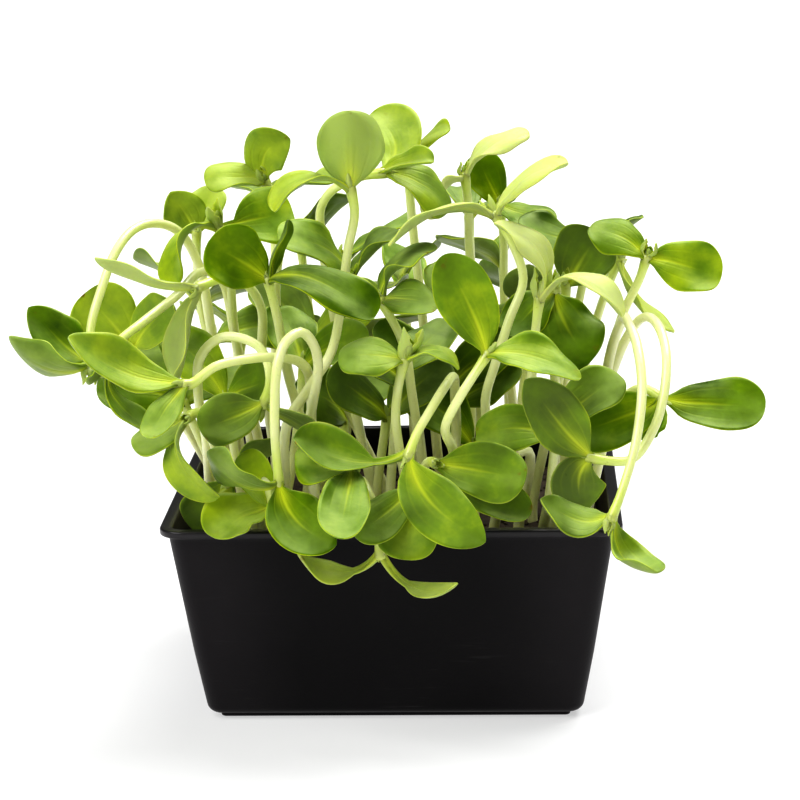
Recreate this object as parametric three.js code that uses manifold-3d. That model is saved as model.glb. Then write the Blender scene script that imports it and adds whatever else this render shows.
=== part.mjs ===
// A square black plastic tray of sunflower microgreens: tray, growing medium and a solid for each seedling.
// Millimetres, +Z up, origin on the surface under the middle of the tray, front of the tray towards -Y.
import * as THREE from "three";
import { mergeVertices } from "three/addons/utils/BufferGeometryUtils.js";
import Module from "manifold-3d";

const wasm = await Module();
wasm.setup();

const MERGE = 1e-4; // corners nearer than this are one

// Tray
const TRAY_HEIGHT = 59;
const RIM_HALF = 65; // middle of the tray to the rim's outer edge
const RIM_DROP = 2.2; // height of the rim's turned-down lip
const RIM_ROUND = 0.6;
const WALL_TOP_HALF = 62.6;
const WALL_BOTTOM_HALF = 54.2;
const WALL = 1.2;
const BOTTOM_ROUND = 3; // round edge between wall and base
const CORNER = 5; // plan radius of the wall's corners
const CORNER_STEPS = 4;
const CORNER_EASE = 4; // rings near the middle keep a corner of this share of CORNER
const BOTTOM_STEPS = 2;
const FOOT_HEIGHT = 1.6; // the base stands proud of the wall's lower edge
const FOOT_INSET = 4;
const FLOOR = 3; // inside floor above the surface

// Growing medium
const SOIL_TOP = 46;
const SOIL_RELIEF = 0.9;
const SOIL_WAVE = 0.12; // turns of the relief, in radians for each millimetre
const SOIL_PHASE = 1;
const SOIL_GAP = 0.5;
const SOIL_RINGS = 3;
const HOLE_RADIUS = 2.9;
const HOLE_SIDES = 4;
const ROOT_DEPTH = 12;
const ROOT_CLEARANCE = 0.6; // under a root's end
const ROOT_SPACING = 7;
const ROOT_LIMIT = 54; // furthest from the middle, across and back

// Stems
const STEM_FOOT = 1.7; // radius at the soil
const STEM_NECK = 1.35; // radius under the seed leaves
const STEM_SIDES = 4;
const STEM_STRAIGHT = 4; // a stem leaves the soil upright for this height
const STEM_STEP = 28; // longest stretch between two rings of a stem
const STEM_BEND = 0.7; // most turn between two rings, in radians
const WALK = 1.5; // a stem's curve is walked in steps of this length

// Seed leaves
const BLADE_ROWS = 4;
const BLADE_COLUMNS = 2;
const ROW_BIAS = 1.5; // rows gather towards the tip
const BLADE_THICK = 0.9;
const STALK_THICK = 2.2;
const STALK_LENGTH = 0.08; // share of the leaf that is stalk
const STALK_HALF = 1.2;
const FULL_BASE = 0.75; // powers that shape a blade's outline towards its base
const FULL_TIP = 0.42; // and towards its tip
const CUP = 0.12; // lift of the edges, as a share of the half width
const START_BACK = 1.2; // a leaf begins this far inside its stem
const STALK_TAPER = 4; // a leaf is down to its blade's thickness after one part in this many
const BOW = 4 / 3; // pull on the midrib's control points for a bow of one
const SECOND_REACH = 0.25; // where the midrib's control points stand along the leaf
const SECOND_RISE = 0.1; // the first one also follows the stem on
const THIRD_REACH = 0.7;
const BUD_SLIM = 0.25;
const BUD_RISE = 0.4;

// Room between seedlings, kept between sample points on them
const STEM_ROOM = 2.05;
const BLADE_ROOM = 1.65;
const SAMPLE_STEP = 2.5;
const SAMPLE_ROWS = 8;
const SAMPLE_COLUMNS = 4;
const TRAY_ROOM = 2.4;
const SOIL_ROOM = 2.6;
const TRIES = 6000;
const NUDGE_GROWTH = 0.01; // how fast the nudges grow, in millimetres for each try
const NUDGE_FLAT = 0.35; // share of a nudge that goes across and up

// Seedlings grown by rule, low ones in the gaps and tall ones at the back; pairs are a range's ends.
// twin: height of a second seedling from a root beside the first, the two grown together at the foot
const SEED = 20917;
const GROWN = [
  { count: 8, height: [66, 90], depth: [-54, 0], heading: [-1, 1], face: [-0.3, -0.8, 0.6] },
  { count: 5, height: [90, 108], depth: [-30, 20], heading: [-1, 1], face: [-0.3, -0.8, 0.6] },
  { count: 3, height: [118, 140], depth: [0, 40], heading: [0, Math.PI], face: [-0.3, 0, 1] },
  { count: 4, height: [90, 122], twin: [76, 104], depth: [20, 54], heading: [-1, 1], face: [-0.3, 0.5, 0.8] },
];
const TWIN_APART = 2; // between the roots of twins
const TWIN_FORK = 14; // twins keep clear of each other from this height over the soil
const LEAN = [0.8, 1.25]; // how far out a crown stands, as a share of its root's place
const SWAY = [-7, 7];
const BELLY = [0.2, 0.6];
const SPLAY = [-0.4, 0.4];
const RISE = [-0.1, 0.8];
const LEAF_LENGTH = [22, 29];
const LEAF_WIDTH = [13, 17];
const LEAF_ARCH = [0, 0.14];

// Which way a seed leaf's upper face looks
const UP = [0, -0.15, 1];
const FRONT = [0, -0.9, 0.45];
const BACK = [0, 0.9, 0.45];
const LEFT = [-1, -0.3, 0.5];
const RIGHT = [1, -0.3, 0.5];
const UP_LEFT = [-0.6, -0.2, 0.8];
const UP_RIGHT = [0.6, -0.2, 0.8];
const UP_FRONT = [0, -0.55, 0.8];
const UP_BACK = [0, 0.5, 0.85];

// Seedlings seen from the front, by hand. root: place in the soil. stem: points up the stem, the last one
// under its leaves. bud: length of the first true leaves. A leaf goes from the stem's end to its tip. It may
// bow towards its upper face (arch), bow sideways (sway), have its edges lifted (cup) or have a longer stalk.
const SEEN = [
  // tall one in front, with a round leaf standing on top
  {
    root: [-30, -38],
    stem: [
      [-29, -50, 86], [-23, -51, 96], [-16, -50, 107], [-13, -48, 121], [-11, -46, 135],
      [-9, -44, 145], [-10, -44, 152],
    ],
    leaves: [
      { tip: [-10, -46, 174], width: 19, face: BACK, cup: 0.35 },
      { tip: [-31, -52, 147], width: 14, face: UP_LEFT, arch: 0.24, stalk: 0.2 },
    ],
  },
  // the one behind its shoulder, with big true leaves
  {
    root: [-6, -14],
    stem: [
      [-18, -18, 116], [-20, -20, 134], [-20, -22, 143], [-16, -25, 149], [-8, -28, 153],
      [-1, -28, 154],
    ],
    leaves: [
      { tip: [-6, -10, 168], width: 17, face: FRONT, sway: 0.2, cup: 0.3 },
      { tip: [17, -24, 143], width: 15, face: UP_FRONT, arch: 0.12 },
      { tip: [13, -34, 158], width: 8, face: UP_FRONT, arch: 0.1, cup: 0.5 },
    ],
  },
  {
    root: [12, 18],
    stem: [[7, 12, 110], [5, 8, 135], [4, 4, 151]],
    leaves: [
      { tip: [17, -4, 163], width: 12, face: UP_LEFT, arch: 0.1 },
      { tip: [-8, 22, 154], width: 14, face: UP_BACK },
    ],
  },
  // pale twig on the skyline
  {
    root: [26, 6],
    stem: [[23, 0, 112], [22, -4, 130], [22, -5, 140], [21, -5, 150]],
    leaves: [
      { tip: [40, -8, 162], width: 12, face: UP_LEFT, arch: 0.12 },
      { tip: [11, -12, 138], width: 12, face: LEFT, arch: 0.15 },
    ],
  },
  // long leaf to the upper right, stem bent at its foot
  {
    root: [36, -26],
    bud: 6,
    stem: [
      [38, -35, 74], [32, -39, 74], [28, -41, 79], [26, -41, 90], [29, -40, 101],
      [33, -38, 113], [37, -36, 124], [34, -34, 134], [29, -32, 142],
    ],
    leaves: [
      { tip: [50, -34, 156], width: 13, face: UP_LEFT, arch: 0.1 },
      { tip: [0, -46, 136], width: 12, face: UP_BACK, arch: 0.14 },
    ],
  },
  {
    root: [36, 30],
    stem: [[32, 22, 108], [32, 18, 127], [31, 15, 138]],
    leaves: [
      { tip: [24, 16, 153], width: 12, face: FRONT },
      { tip: [46, 4, 132], width: 14, face: UP_FRONT },
    ],
  },
  {
    root: [44, 14],
    stem: [[52, 12, 100], [55, 8, 116], [55, 6, 125]],
    leaves: [
      { tip: [37, 0, 135], width: 17, face: UP_FRONT, arch: 0.08 },
      { tip: [73, 22, 133], width: 15, face: UP_BACK },
    ],
  },
  {
    root: [40, -4],
    stem: [[49, -8, 95], [50, -14, 111], [50, -16, 119]],
    leaves: [
      { tip: [60, -14, 134], width: 19, face: FRONT, cup: 0.2 },
      { tip: [35, 4, 111], width: 15, face: UP_BACK, arch: 0.1 },
    ],
  },
  // right-hand pair held out flat
  {
    root: [52, 4],
    stem: [[62, -6, 89], [66, -16, 109], [71, -24, 122], [73, -27, 129]],
    leaves: [
      { tip: [57, -24, 137], width: 13, face: UP_FRONT, arch: 0.1 },
      { tip: [94, -30, 124], width: 15, face: FRONT, cup: 0.15 },
    ],
  },
  {
    root: [50, 20],
    stem: [[58, 12, 98], [63, 2, 116], [66, -2, 124]],
    leaves: [
      { tip: [81, -10, 103], width: 10, face: RIGHT, arch: -0.14 },
      { tip: [56, 22, 112], width: 14, face: UP_BACK },
    ],
  },
  // yellowing leaves arched over
  {
    root: [28, -38],
    bud: 9,
    stem: [
      [34, -44, 77], [37, -45, 86], [39, -45, 93], [40, -45, 103], [41, -44, 114],
      [42, -43, 121],
    ],
    leaves: [
      { tip: [30, -43, 143], width: 12, face: UP_RIGHT, arch: 0.26 },
      { tip: [65, -50, 117], width: 12, face: UP, arch: 0.34 },
    ],
  },
  {
    root: [46, -14],
    stem: [[47, -18, 85], [46, -24, 104], [47, -27, 120]],
    leaves: [
      { tip: [57, -38, 101], width: 19, face: FRONT, sway: 0.1, cup: 0.1 },
      { tip: [33, -32, 108], width: 14, face: UP_FRONT },
    ],
  },
  // arch on the right that ends in the spoon-shaped leaf over the rim
  {
    root: [50, -30],
    stem: [
      [59, -24, 81], [63, -25, 102], [66, -32, 112], [67, -43, 113], [69, -54, 109],
      [70, -64, 99], [68, -71, 85], [64, -77, 73], [61, -80, 66],
    ],
    leaves: [
      { tip: [42, -81, 72], width: 13, face: UP_FRONT, arch: -0.22 },
      { tip: [73, -90, 54], width: 14, face: UP_RIGHT, arch: -0.3, sway: -0.16, cup: 0.4 },
    ],
  },
  // outer arch on the right, its pair hanging back over the tray
  {
    root: [54, -12],
    stem: [
      [63, -8, 84], [68, -12, 100], [73, -20, 110], [77, -36, 112], [79, -50, 106],
      [78, -57, 96], [75, -60, 87], [69, -62, 79], [62, -63, 79], [57, -63, 80],
    ],
    leaves: [
      { tip: [41, -62, 101], width: 16, face: FRONT, cup: 0.3 },
      { tip: [58, -72, 64], width: 15, face: FRONT, sway: 0.16, cup: 0.25 },
    ],
  },
  // leaf furthest right
  {
    root: [54, -44],
    stem: [[60, -38, 76], [64, -38, 88], [71, -42, 94], [77, -45, 91]],
    leaves: [
      { tip: [105, -50, 90], width: 16, face: FRONT, cup: 0.12 },
      { tip: [50, -50, 82], width: 16, face: FRONT, cup: 0.2 },
    ],
  },
  // thick stem in the middle that bends forward over the front rim
  {
    root: [16, -34],
    stem: [
      [18, -28, 78], [18, -36, 91], [18, -48, 99], [16, -60, 99], [12, -68, 94],
      [8, -74, 88], [6, -77, 83],
    ],
    leaves: [
      { tip: [-25, -80, 89], width: 14, face: UP_FRONT, arch: -0.14, cup: 0.5, stalk: 0.3 },
      { tip: [27, -88, 62], width: 16, face: FRONT, sway: 0.1, cup: 0.25 },
    ],
  },
  {
    root: [9, -44],
    stem: [[9, -50, 71], [11, -58, 77], [13, -64, 78]],
    leaves: [
      { tip: [38, -70, 75], width: 16, face: FRONT, cup: 0.15 },
      { tip: [39, -66, 64], width: 12, face: FRONT, arch: -0.1, cup: 0.2 },
    ],
  },
  // hairpin stem in front
  {
    root: [-20, -46],
    stem: [
      [-23, -54, 83], [-21, -58, 94], [-19, -61, 105], [-20, -64, 112], [-23, -67, 116],
      [-27, -71, 114], [-29, -74, 109], [-30, -76, 99], [-30, -78, 88], [-29, -80, 76],
    ],
    leaves: [
      { tip: [-48, -80, 86], width: 15, face: UP_BACK, arch: -0.2 },
      { tip: [-13, -91, 62], width: 16, face: FRONT, sway: 0.12, cup: 0.3 },
    ],
  },
  {
    root: [-36, -50],
    stem: [[-38, -56, 72], [-36, -64, 76], [-33, -71, 74], [-31, -74, 67]],
    leaves: [
      { tip: [-47, -79, 61], width: 17, face: UP_FRONT, sway: 0.16, cup: 0.35 },
      { tip: [-40, -66, 82], width: 10, face: FRONT, cup: 0.3 },
    ],
  },
  // twig hanging in front of the tray
  {
    root: [-10, -53],
    stem: [[-8, -62, 72], [-6, -71, 73], [-3, -75, 66], [-2, -77, 55]],
    leaves: [
      { tip: [-25, -82, 58], width: 8, face: UP_FRONT, arch: -0.34, stalk: 0.3 },
      { tip: [19, -86, 50], width: 7, face: UP_FRONT, arch: -0.36, stalk: 0.34 },
    ],
  },
  {
    root: [2, -50],
    stem: [[5, -60, 74], [7, -68, 77], [7, -74, 73]],
    leaves: [
      { tip: [5, -84, 56], width: 17, face: FRONT, cup: 0.15 },
      { tip: [-8, -86, 63], width: 13, face: FRONT, cup: 0.15 },
    ],
  },
  {
    root: [-15, -36],
    stem: [[-16, -48, 77], [-15, -56, 81], [-14, -61, 79]],
    leaves: [
      { tip: [-14, -79, 64], width: 14, face: FRONT, cup: 0.2 },
      { tip: [-34, -62, 82], width: 14, face: UP_FRONT },
    ],
  },
  // left front, a narrow leaf curling down outside the corner
  {
    root: [-46, -46],
    stem: [[-49, -48, 76], [-51, -54, 86], [-53, -60, 92], [-55, -66, 92]],
    leaves: [
      { tip: [-46, -76, 72], width: 11, face: LEFT, arch: 0.3, cup: 0.4 },
      { tip: [-69, -74, 85], width: 10, face: UP_FRONT },
    ],
  },
  {
    root: [-38, -40],
    stem: [[-39, -44, 69], [-41, -49, 72], [-44, -52, 70]],
    leaves: [
      { tip: [-53, -56, 56], width: 16, face: FRONT, cup: 0.15 },
      { tip: [-30, -56, 84], width: 12, face: UP_BACK },
    ],
  },
  {
    root: [-50, -34],
    stem: [
      [-56, -42, 80], [-57, -50, 95], [-56, -51, 106], [-50, -53, 112], [-43, -55, 112],
      [-38, -57, 109], [-36, -59, 101], [-38, -60, 94],
    ],
    leaves: [
      { tip: [-57, -56, 85], width: 14, face: FRONT, arch: 0.06 },
      { tip: [-24, -60, 86], width: 11, face: UP_BACK },
    ],
  },
  // far left, over the high arch
  {
    root: [-50, -8],
    bud: 6,
    stem: [
      [-54, -10, 106], [-57, -14, 127], [-62, -20, 137], [-68, -26, 140], [-73, -33, 139],
      [-77, -40, 134], [-80, -46, 126], [-83, -52, 115], [-83, -56, 105],
    ],
    leaves: [
      { tip: [-105, -60, 114], width: 15, face: UP_BACK, arch: -0.22 },
      { tip: [-101, -48, 120], width: 13, face: UP_LEFT, arch: -0.12, cup: 0.4 },
    ],
  },
  {
    root: [-34, -14],
    stem: [[-38, -22, 99], [-37, -32, 116], [-41, -44, 126], [-47, -52, 128], [-52, -58, 127]],
    leaves: [
      { tip: [-79, -66, 137], width: 11, face: UP_BACK, arch: -0.08 },
      { tip: [-58, -60, 101], width: 12, face: LEFT, cup: 0.5 },
    ],
  },
  {
    root: [-44, 4],
    stem: [
      [-48, -4, 104], [-50, -14, 121], [-55, -28, 126], [-60, -42, 122], [-68, -54, 117],
      [-75, -62, 112], [-78, -65, 107],
    ],
    leaves: [
      { tip: [-64, -66, 88], width: 11, face: UP_RIGHT, arch: -0.12, sway: 0.1 },
      { tip: [-84, -66, 101], width: 9, face: UP_BACK },
    ],
  },
  // left front leaf held out over the corner, on a stem that crosses the front
  {
    root: [-22, -26],
    stem: [
      [-23, -36, 90], [-24, -50, 102], [-31, -64, 107], [-38, -71, 108], [-46, -76, 107],
      [-52, -79, 103], [-54, -80, 103],
    ],
    leaves: [
      { tip: [-83, -83, 117], width: 14, face: UP_FRONT, arch: -0.1, cup: 0.3 },
      { tip: [-64, -90, 94], width: 9, face: UP_FRONT },
    ],
  },
  {
    root: [-54, 10],
    stem: [[-68, -4, 83], [-73, -16, 94], [-76, -22, 103]],
    leaves: [
      { tip: [-89, -20, 119], width: 19, face: FRONT, cup: 0.15 },
      { tip: [-63, -30, 118], width: 14, face: FRONT },
    ],
  },
  // top left pair
  {
    root: [-26, 12],
    stem: [[-36, 6, 111], [-34, 0, 130], [-35, -5, 143], [-37, -8, 149]],
    leaves: [
      { tip: [-29, -14, 162], width: 14, face: FRONT, sway: -0.24, cup: 0.3 },
      { tip: [-54, -14, 150], width: 14, face: UP_FRONT, arch: 0.1 },
    ],
  },
  {
    root: [-40, 22],
    stem: [[-58, 14, 101], [-59, 4, 121], [-58, -4, 134]],
    leaves: [
      { tip: [-65, -6, 146], width: 13, face: FRONT },
      { tip: [-54, 8, 145], width: 11, face: FRONT },
    ],
  },
  {
    root: [-38, -2],
    bud: 9,
    stem: [[-47, -10, 105], [-47, -20, 125], [-49, -27, 139]],
    leaves: [
      { tip: [-60, -42, 125], width: 14, face: UP_LEFT, arch: 0.3 },
      { tip: [-28, -22, 142], width: 18, face: FRONT, cup: 0.2, stalk: 0.25 },
    ],
  },
  {
    root: [-18, -14],
    stem: [[-29, -38, 95], [-31, -48, 115], [-33, -53, 127]],
    leaves: [
      { tip: [-48, -61, 139], width: 18, face: FRONT, cup: 0.2 },
      { tip: [-3, -63, 118], width: 14, face: UP_FRONT, arch: 0.16 },
      { tip: [-27, -54, 144], width: 7, face: RIGHT, cup: 0.4 },
    ],
  },
  {
    root: [-4, 4],
    stem: [[-17, -4, 89], [-13, -14, 109], [-12, -20, 122]],
    leaves: [
      { tip: [-31, -38, 137], width: 18, face: UP_FRONT, arch: 0.12 },
      { tip: [2, -14, 135], width: 14, face: UP_LEFT, arch: 0.1 },
    ],
  },
  // middle
  {
    root: [10, -24],
    stem: [[6, -40, 92], [4, -46, 108], [-2, -47, 121]],
    leaves: [
      { tip: [13, -46, 135], width: 16, face: UP_LEFT, arch: 0.14, sway: -0.16 },
      { tip: [14, -54, 120], width: 12, face: UP_FRONT, arch: 0.1 },
    ],
  },
  {
    root: [6, -34],
    bud: 10,
    stem: [[2, -58, 89], [3, -61, 99], [5, -62, 107]],
    leaves: [
      { tip: [-13, -66, 107], width: 14, face: UP_FRONT, arch: 0.1 },
      { tip: [20, -61, 104], width: 10, face: UP, arch: 0.24 },
    ],
  },
  {
    root: [22, -53],
    stem: [[18, -61, 79], [16, -71, 89], [20, -75, 98], [28, -73, 110]],
    leaves: [
      { tip: [17, -70, 136], width: 16, face: FRONT, cup: 0.25 },
      { tip: [54, -80, 104], width: 13, face: UP_FRONT, arch: 0.1 },
    ],
  },
];

// A repeatable stream of numbers from 0 to 1
function stream(seed) {
  let state = seed;
  return () => {
    state = (state + 0x6d2b79f5) | 0;
    let t = Math.imul(state ^ (state >>> 15), 1 | state);
    t = (t + Math.imul(t ^ (t >>> 7), 61 | t)) ^ t;
    return ((t ^ (t >>> 14)) >>> 0) / 4294967296;
  };
}

const vector = (place) => new THREE.Vector3(...place);

// Makes a closed solid of a geometry whose triangles share their corners
function solidOf(geometry) {
  const bare = new THREE.BufferGeometry();
  bare.setAttribute("position", geometry.getAttribute("position").clone());
  bare.setIndex(geometry.getIndex());
  const merged = mergeVertices(bare, MERGE);
  const corners = merged.getIndex().array;
  const kept = [];
  for (let i = 0; i < corners.length; i += 3) {
    const [a, b, c] = corners.slice(i, i + 3);
    if (a !== b && b !== c && c !== a) kept.push(a, b, c);
  }
  const vertProperties = new Float32Array(merged.getAttribute("position").array);
  return new wasm.Manifold(new wasm.Mesh({ numProp: 3, vertProperties, triVerts: new Uint32Array(kept) }));
}

// Turns a solid back into a geometry, without the loose scraps that joining can leave
function geometryOf(solid) {
  const bodies = solid.decompose().sort((a, b) => b.volume() - a.volume());
  const mesh = bodies[0].getMesh();
  const geometry = new THREE.BufferGeometry();
  geometry.setAttribute("position", new THREE.BufferAttribute(new Float32Array(mesh.vertProperties), 3));
  geometry.setIndex(new THREE.BufferAttribute(new Uint32Array(mesh.triVerts), 1));
  return geometry;
}

// Half width of the tray's outside at a height
function wallHalf(z) {
  const share = (z - FOOT_HEIGHT) / (TRAY_HEIGHT - RIM_DROP - FOOT_HEIGHT);
  return WALL_BOTTOM_HALF + (WALL_TOP_HALF - WALL_BOTTOM_HALF) * share;
}

// Revolves an outline of half width and height, then turns its rings into squares with round corners
function squareLathe(outline) {
  const perSide = CORNER_STEPS + 1;
  const count = 4 * perSide;
  const points = outline.map(([half, z]) => new THREE.Vector2(half, z));
  const geometry = new THREE.LatheGeometry(points, count);
  geometry.rotateX(Math.PI / 2);
  const position = geometry.getAttribute("position");
  for (let i = 0; i < position.count; i += 1) {
    const step = Math.floor(i / outline.length) % count;
    const [half, z] = outline[i % outline.length];
    const quarter = (Math.floor(step / perSide) * Math.PI) / 2;
    const turn = quarter + ((step % perSide) / CORNER_STEPS) * (Math.PI / 2);
    const reach = Math.max(0, Math.min(wallHalf(z) - CORNER, half - CORNER / CORNER_EASE));
    const centre = new THREE.Vector2(reach, reach).rotateAround(new THREE.Vector2(), quarter);
    const radius = half - reach;
    position.setXYZ(i, centre.x + radius * Math.cos(turn), centre.y + radius * Math.sin(turn), z);
  }
  return geometry;
}

function makeTray() {
  const lower = WALL_BOTTOM_HALF - BOTTOM_ROUND;
  const round = Array.from({ length: BOTTOM_STEPS + 1 }, (_, i) => {
    const turn = ((i / BOTTOM_STEPS) * Math.PI) / 2;
    return [lower + BOTTOM_ROUND * Math.sin(turn), FOOT_HEIGHT + BOTTOM_ROUND * (1 - Math.cos(turn))];
  });
  return solidOf(squareLathe([
    [0, 0],
    [WALL_BOTTOM_HALF - FOOT_INSET, 0],
    [WALL_BOTTOM_HALF - FOOT_INSET, FOOT_HEIGHT],
    ...round,
    [WALL_TOP_HALF, TRAY_HEIGHT - RIM_DROP],
    [RIM_HALF, TRAY_HEIGHT - RIM_DROP],
    [RIM_HALF, TRAY_HEIGHT - RIM_ROUND],
    [RIM_HALF - RIM_ROUND, TRAY_HEIGHT],
    [WALL_TOP_HALF - WALL, TRAY_HEIGHT],
    [WALL_TOP_HALF - WALL, TRAY_HEIGHT - RIM_DROP],
    [wallHalf(FLOOR) - WALL, FLOOR],
    [0, FLOOR],
  ]));
}

function makeSoil(plans) {
  const bottom = FLOOR + SOIL_GAP;
  const inside = (z) => wallHalf(z) - WALL - SOIL_GAP;
  const shares = Array.from({ length: SOIL_RINGS }, (_, i) => 1 - i / SOIL_RINGS);
  const rings = shares.map((share) => [inside(SOIL_TOP) * share, SOIL_TOP]);
  const geometry = squareLathe([[0, bottom], [inside(bottom), bottom], ...rings, [0, SOIL_TOP]]);
  const position = geometry.getAttribute("position");
  for (let i = 0; i < position.count; i += 1) {
    if (position.getZ(i) < SOIL_TOP) continue;
    const wave = Math.sin(position.getX(i) * SOIL_WAVE) * Math.cos(position.getY(i) * SOIL_WAVE + SOIL_PHASE);
    position.setZ(i, SOIL_TOP + SOIL_RELIEF * wave);
  }
  let soil = solidOf(geometry);
  const depth = ROOT_DEPTH + ROOT_CLEARANCE;
  for (const { root } of plans.flatMap((plan) => (plan.twin ? [plan, plan.twin] : [plan]))) {
    const hole = new THREE.CylinderGeometry(HOLE_RADIUS, HOLE_RADIUS, depth * 2, HOLE_SIDES);
    hole.rotateX(Math.PI / 2);
    hole.translate(root[0], root[1], SOIL_TOP);
    soil = soil.subtract(solidOf(hole));
  }
  return soil;
}

// The curve that a stem follows, from the end of its root to the foot of its leaves
function stemCurve(plan) {
  const [x, y] = plan.root;
  const foot = [[x, y, SOIL_TOP - ROOT_DEPTH], [x, y, SOIL_TOP], [x, y, SOIL_TOP + STEM_STRAIGHT]];
  return new THREE.CatmullRomCurve3([...foot, ...plan.stem].map(vector), false, "centripetal");
}

// Walks a curve and keeps a place for a ring wherever it has bent or run on enough
function ringPlaces(curve) {
  const count = Math.ceil(curve.getLength() / WALK);
  const places = [0, (ROOT_DEPTH + SOIL_RELIEF) / curve.getLength()];
  for (let i = Math.ceil(places[1] * count); i < count - 1; i += 1) {
    const last = places[places.length - 1];
    const bend = curve.getTangentAt(i / count).angleTo(curve.getTangentAt(last));
    if (bend > STEM_BEND || (i / count - last) * count * WALK > STEM_STEP) places.push(i / count);
  }
  places.push(1);
  return places;
}

// A cylinder bent along the stem's curve and drawn in towards its neck
function stemGeometry(curve) {
  const places = ringPlaces(curve);
  const frames = [];
  const across = new THREE.Vector3(1, 0, 0);
  for (const place of places) {
    const along = curve.getTangentAt(place);
    across.addScaledVector(along, -across.dot(along)).normalize();
    frames.push({ at: curve.getPointAt(place), across: across.clone(), aside: across.clone().cross(along) });
  }
  const geometry = new THREE.CylinderGeometry(1, 1, 1, STEM_SIDES, places.length - 1);
  const position = geometry.getAttribute("position");
  for (let i = 0; i < position.count; i += 1) {
    const ring = Math.round((position.getY(i) + 0.5) * (places.length - 1));
    const frame = frames[ring];
    const radius = STEM_FOOT + (STEM_NECK - STEM_FOOT) * places[ring];
    const corner = frame.at.clone();
    corner.addScaledVector(frame.across, position.getX(i) * radius);
    corner.addScaledVector(frame.aside, position.getZ(i) * radius);
    position.setXYZ(i, corner.x, corner.y, corner.z);
  }
  return geometry;
}

// Half width of a blade at a share of its length
function bladeHalf(leaf, share) {
  const stalk = leaf.stalk ?? STALK_LENGTH;
  const s = Math.min(1, Math.max(0, (share - stalk) / (1 - stalk)));
  const peak = FULL_BASE / (FULL_BASE + FULL_TIP);
  const shape = (s / peak) ** FULL_BASE * ((1 - s) / (1 - peak)) ** FULL_TIP;
  return Math.max(STALK_HALF, (leaf.width / 2) * shape);
}

// The middle surface of a leaf, from its foot inside the stem to its tip
class Blade {
  constructor(leaf, node, along) {
    this.leaf = leaf;
    const start = vector(node).addScaledVector(along, -START_BACK);
    const tip = vector(leaf.tip);
    const chord = tip.clone().sub(start);
    this.aside = chord.clone().cross(vector(leaf.face)).normalize();
    const upward = this.aside.clone().cross(chord).normalize();
    const bow = upward.multiplyScalar((leaf.arch ?? 0) * chord.length() * BOW);
    bow.addScaledVector(this.aside, (leaf.sway ?? 0) * chord.length() * BOW);
    const second = start.clone().addScaledVector(chord, SECOND_REACH).add(bow);
    second.addScaledVector(along, SECOND_RISE * chord.length());
    const third = start.clone().addScaledVector(chord, THIRD_REACH).add(bow);
    this.midrib = new THREE.CubicBezierCurve3(start, second, third, tip);
  }

  // The place across from -1 to 1 and along from 0 to 1, raised by a height over the middle surface
  at(across, share, raise) {
    const along = this.midrib.getTangent(share);
    const aside = this.aside.clone().addScaledVector(along, -this.aside.dot(along)).normalize();
    const upward = aside.clone().cross(along);
    const half = bladeHalf(this.leaf, share);
    const lift = (this.leaf.cup ?? CUP) * half * across ** 2 + raise;
    return this.midrib.getPoint(share).addScaledVector(aside, across * half).addScaledVector(upward, lift);
  }
}

// Thickens a leaf's sheet: the same triangles above and below, and a strip round the edge
function bladeGeometry(blade) {
  const sheet = new THREE.PlaneGeometry(2, 1, BLADE_COLUMNS, BLADE_ROWS);
  const flat = sheet.getAttribute("position");
  const places = [];
  for (const side of [1, -1]) {
    for (let i = 0; i < flat.count; i += 1) {
      const share = 1 - (0.5 + flat.getY(i)) ** ROW_BIAS;
      const thick = BLADE_THICK + (STALK_THICK - BLADE_THICK) * Math.max(0, 1 - share * STALK_TAPER);
      places.push(...blade.at(flat.getX(i), share, (side * thick) / 2).toArray());
    }
  }
  const under = Array.from(sheet.getIndex().array);
  const faces = [];
  const edges = new Map();
  for (let i = 0; i < under.length; i += 3) {
    const [a, b, c] = under.slice(i, i + 3);
    faces.push(a, c, b, a + flat.count, b + flat.count, c + flat.count);
    for (const [from, to] of [[a, c], [c, b], [b, a]]) {
      if (!edges.delete(`${to} ${from}`)) edges.set(`${from} ${to}`, [from, to]);
    }
  }
  for (const [from, to] of edges.values()) {
    faces.push(to, from, from + flat.count, to, from + flat.count, to + flat.count);
  }
  const geometry = new THREE.BufferGeometry();
  geometry.setAttribute("position", new THREE.Float32BufferAttribute(places, 3));
  geometry.setIndex(faces);
  return geometry;
}

// The first true leaves, still folded together
function budGeometry(plan, node, along) {
  const bud = new THREE.OctahedronGeometry(1);
  bud.scale(plan.bud * BUD_SLIM, plan.bud * BUD_SLIM, plan.bud / 2);
  const turn = new THREE.Quaternion().setFromUnitVectors(new THREE.Vector3(0, 0, 1), along);
  bud.applyQuaternion(turn);
  const middle = vector(node).addScaledVector(along, plan.bud * BUD_RISE);
  bud.translate(middle.x, middle.y, middle.z);
  bud.setIndex(Array.from({ length: bud.getAttribute("position").count }, (_, i) => i));
  return bud;
}

// A seedling as one solid, with its twin where it has one
function makeSeedling(plan) {
  const curve = stemCurve(plan);
  const along = curve.getTangent(1);
  const node = plan.stem[plan.stem.length - 1];
  let solid = solidOf(stemGeometry(curve));
  for (const leaf of plan.leaves) solid = solid.add(solidOf(bladeGeometry(new Blade(leaf, node, along))));
  if (plan.bud) solid = solid.add(solidOf(budGeometry(plan, node, along)));
  return plan.twin ? solid.add(makeSeedling(plan.twin)) : solid;
}

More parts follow.
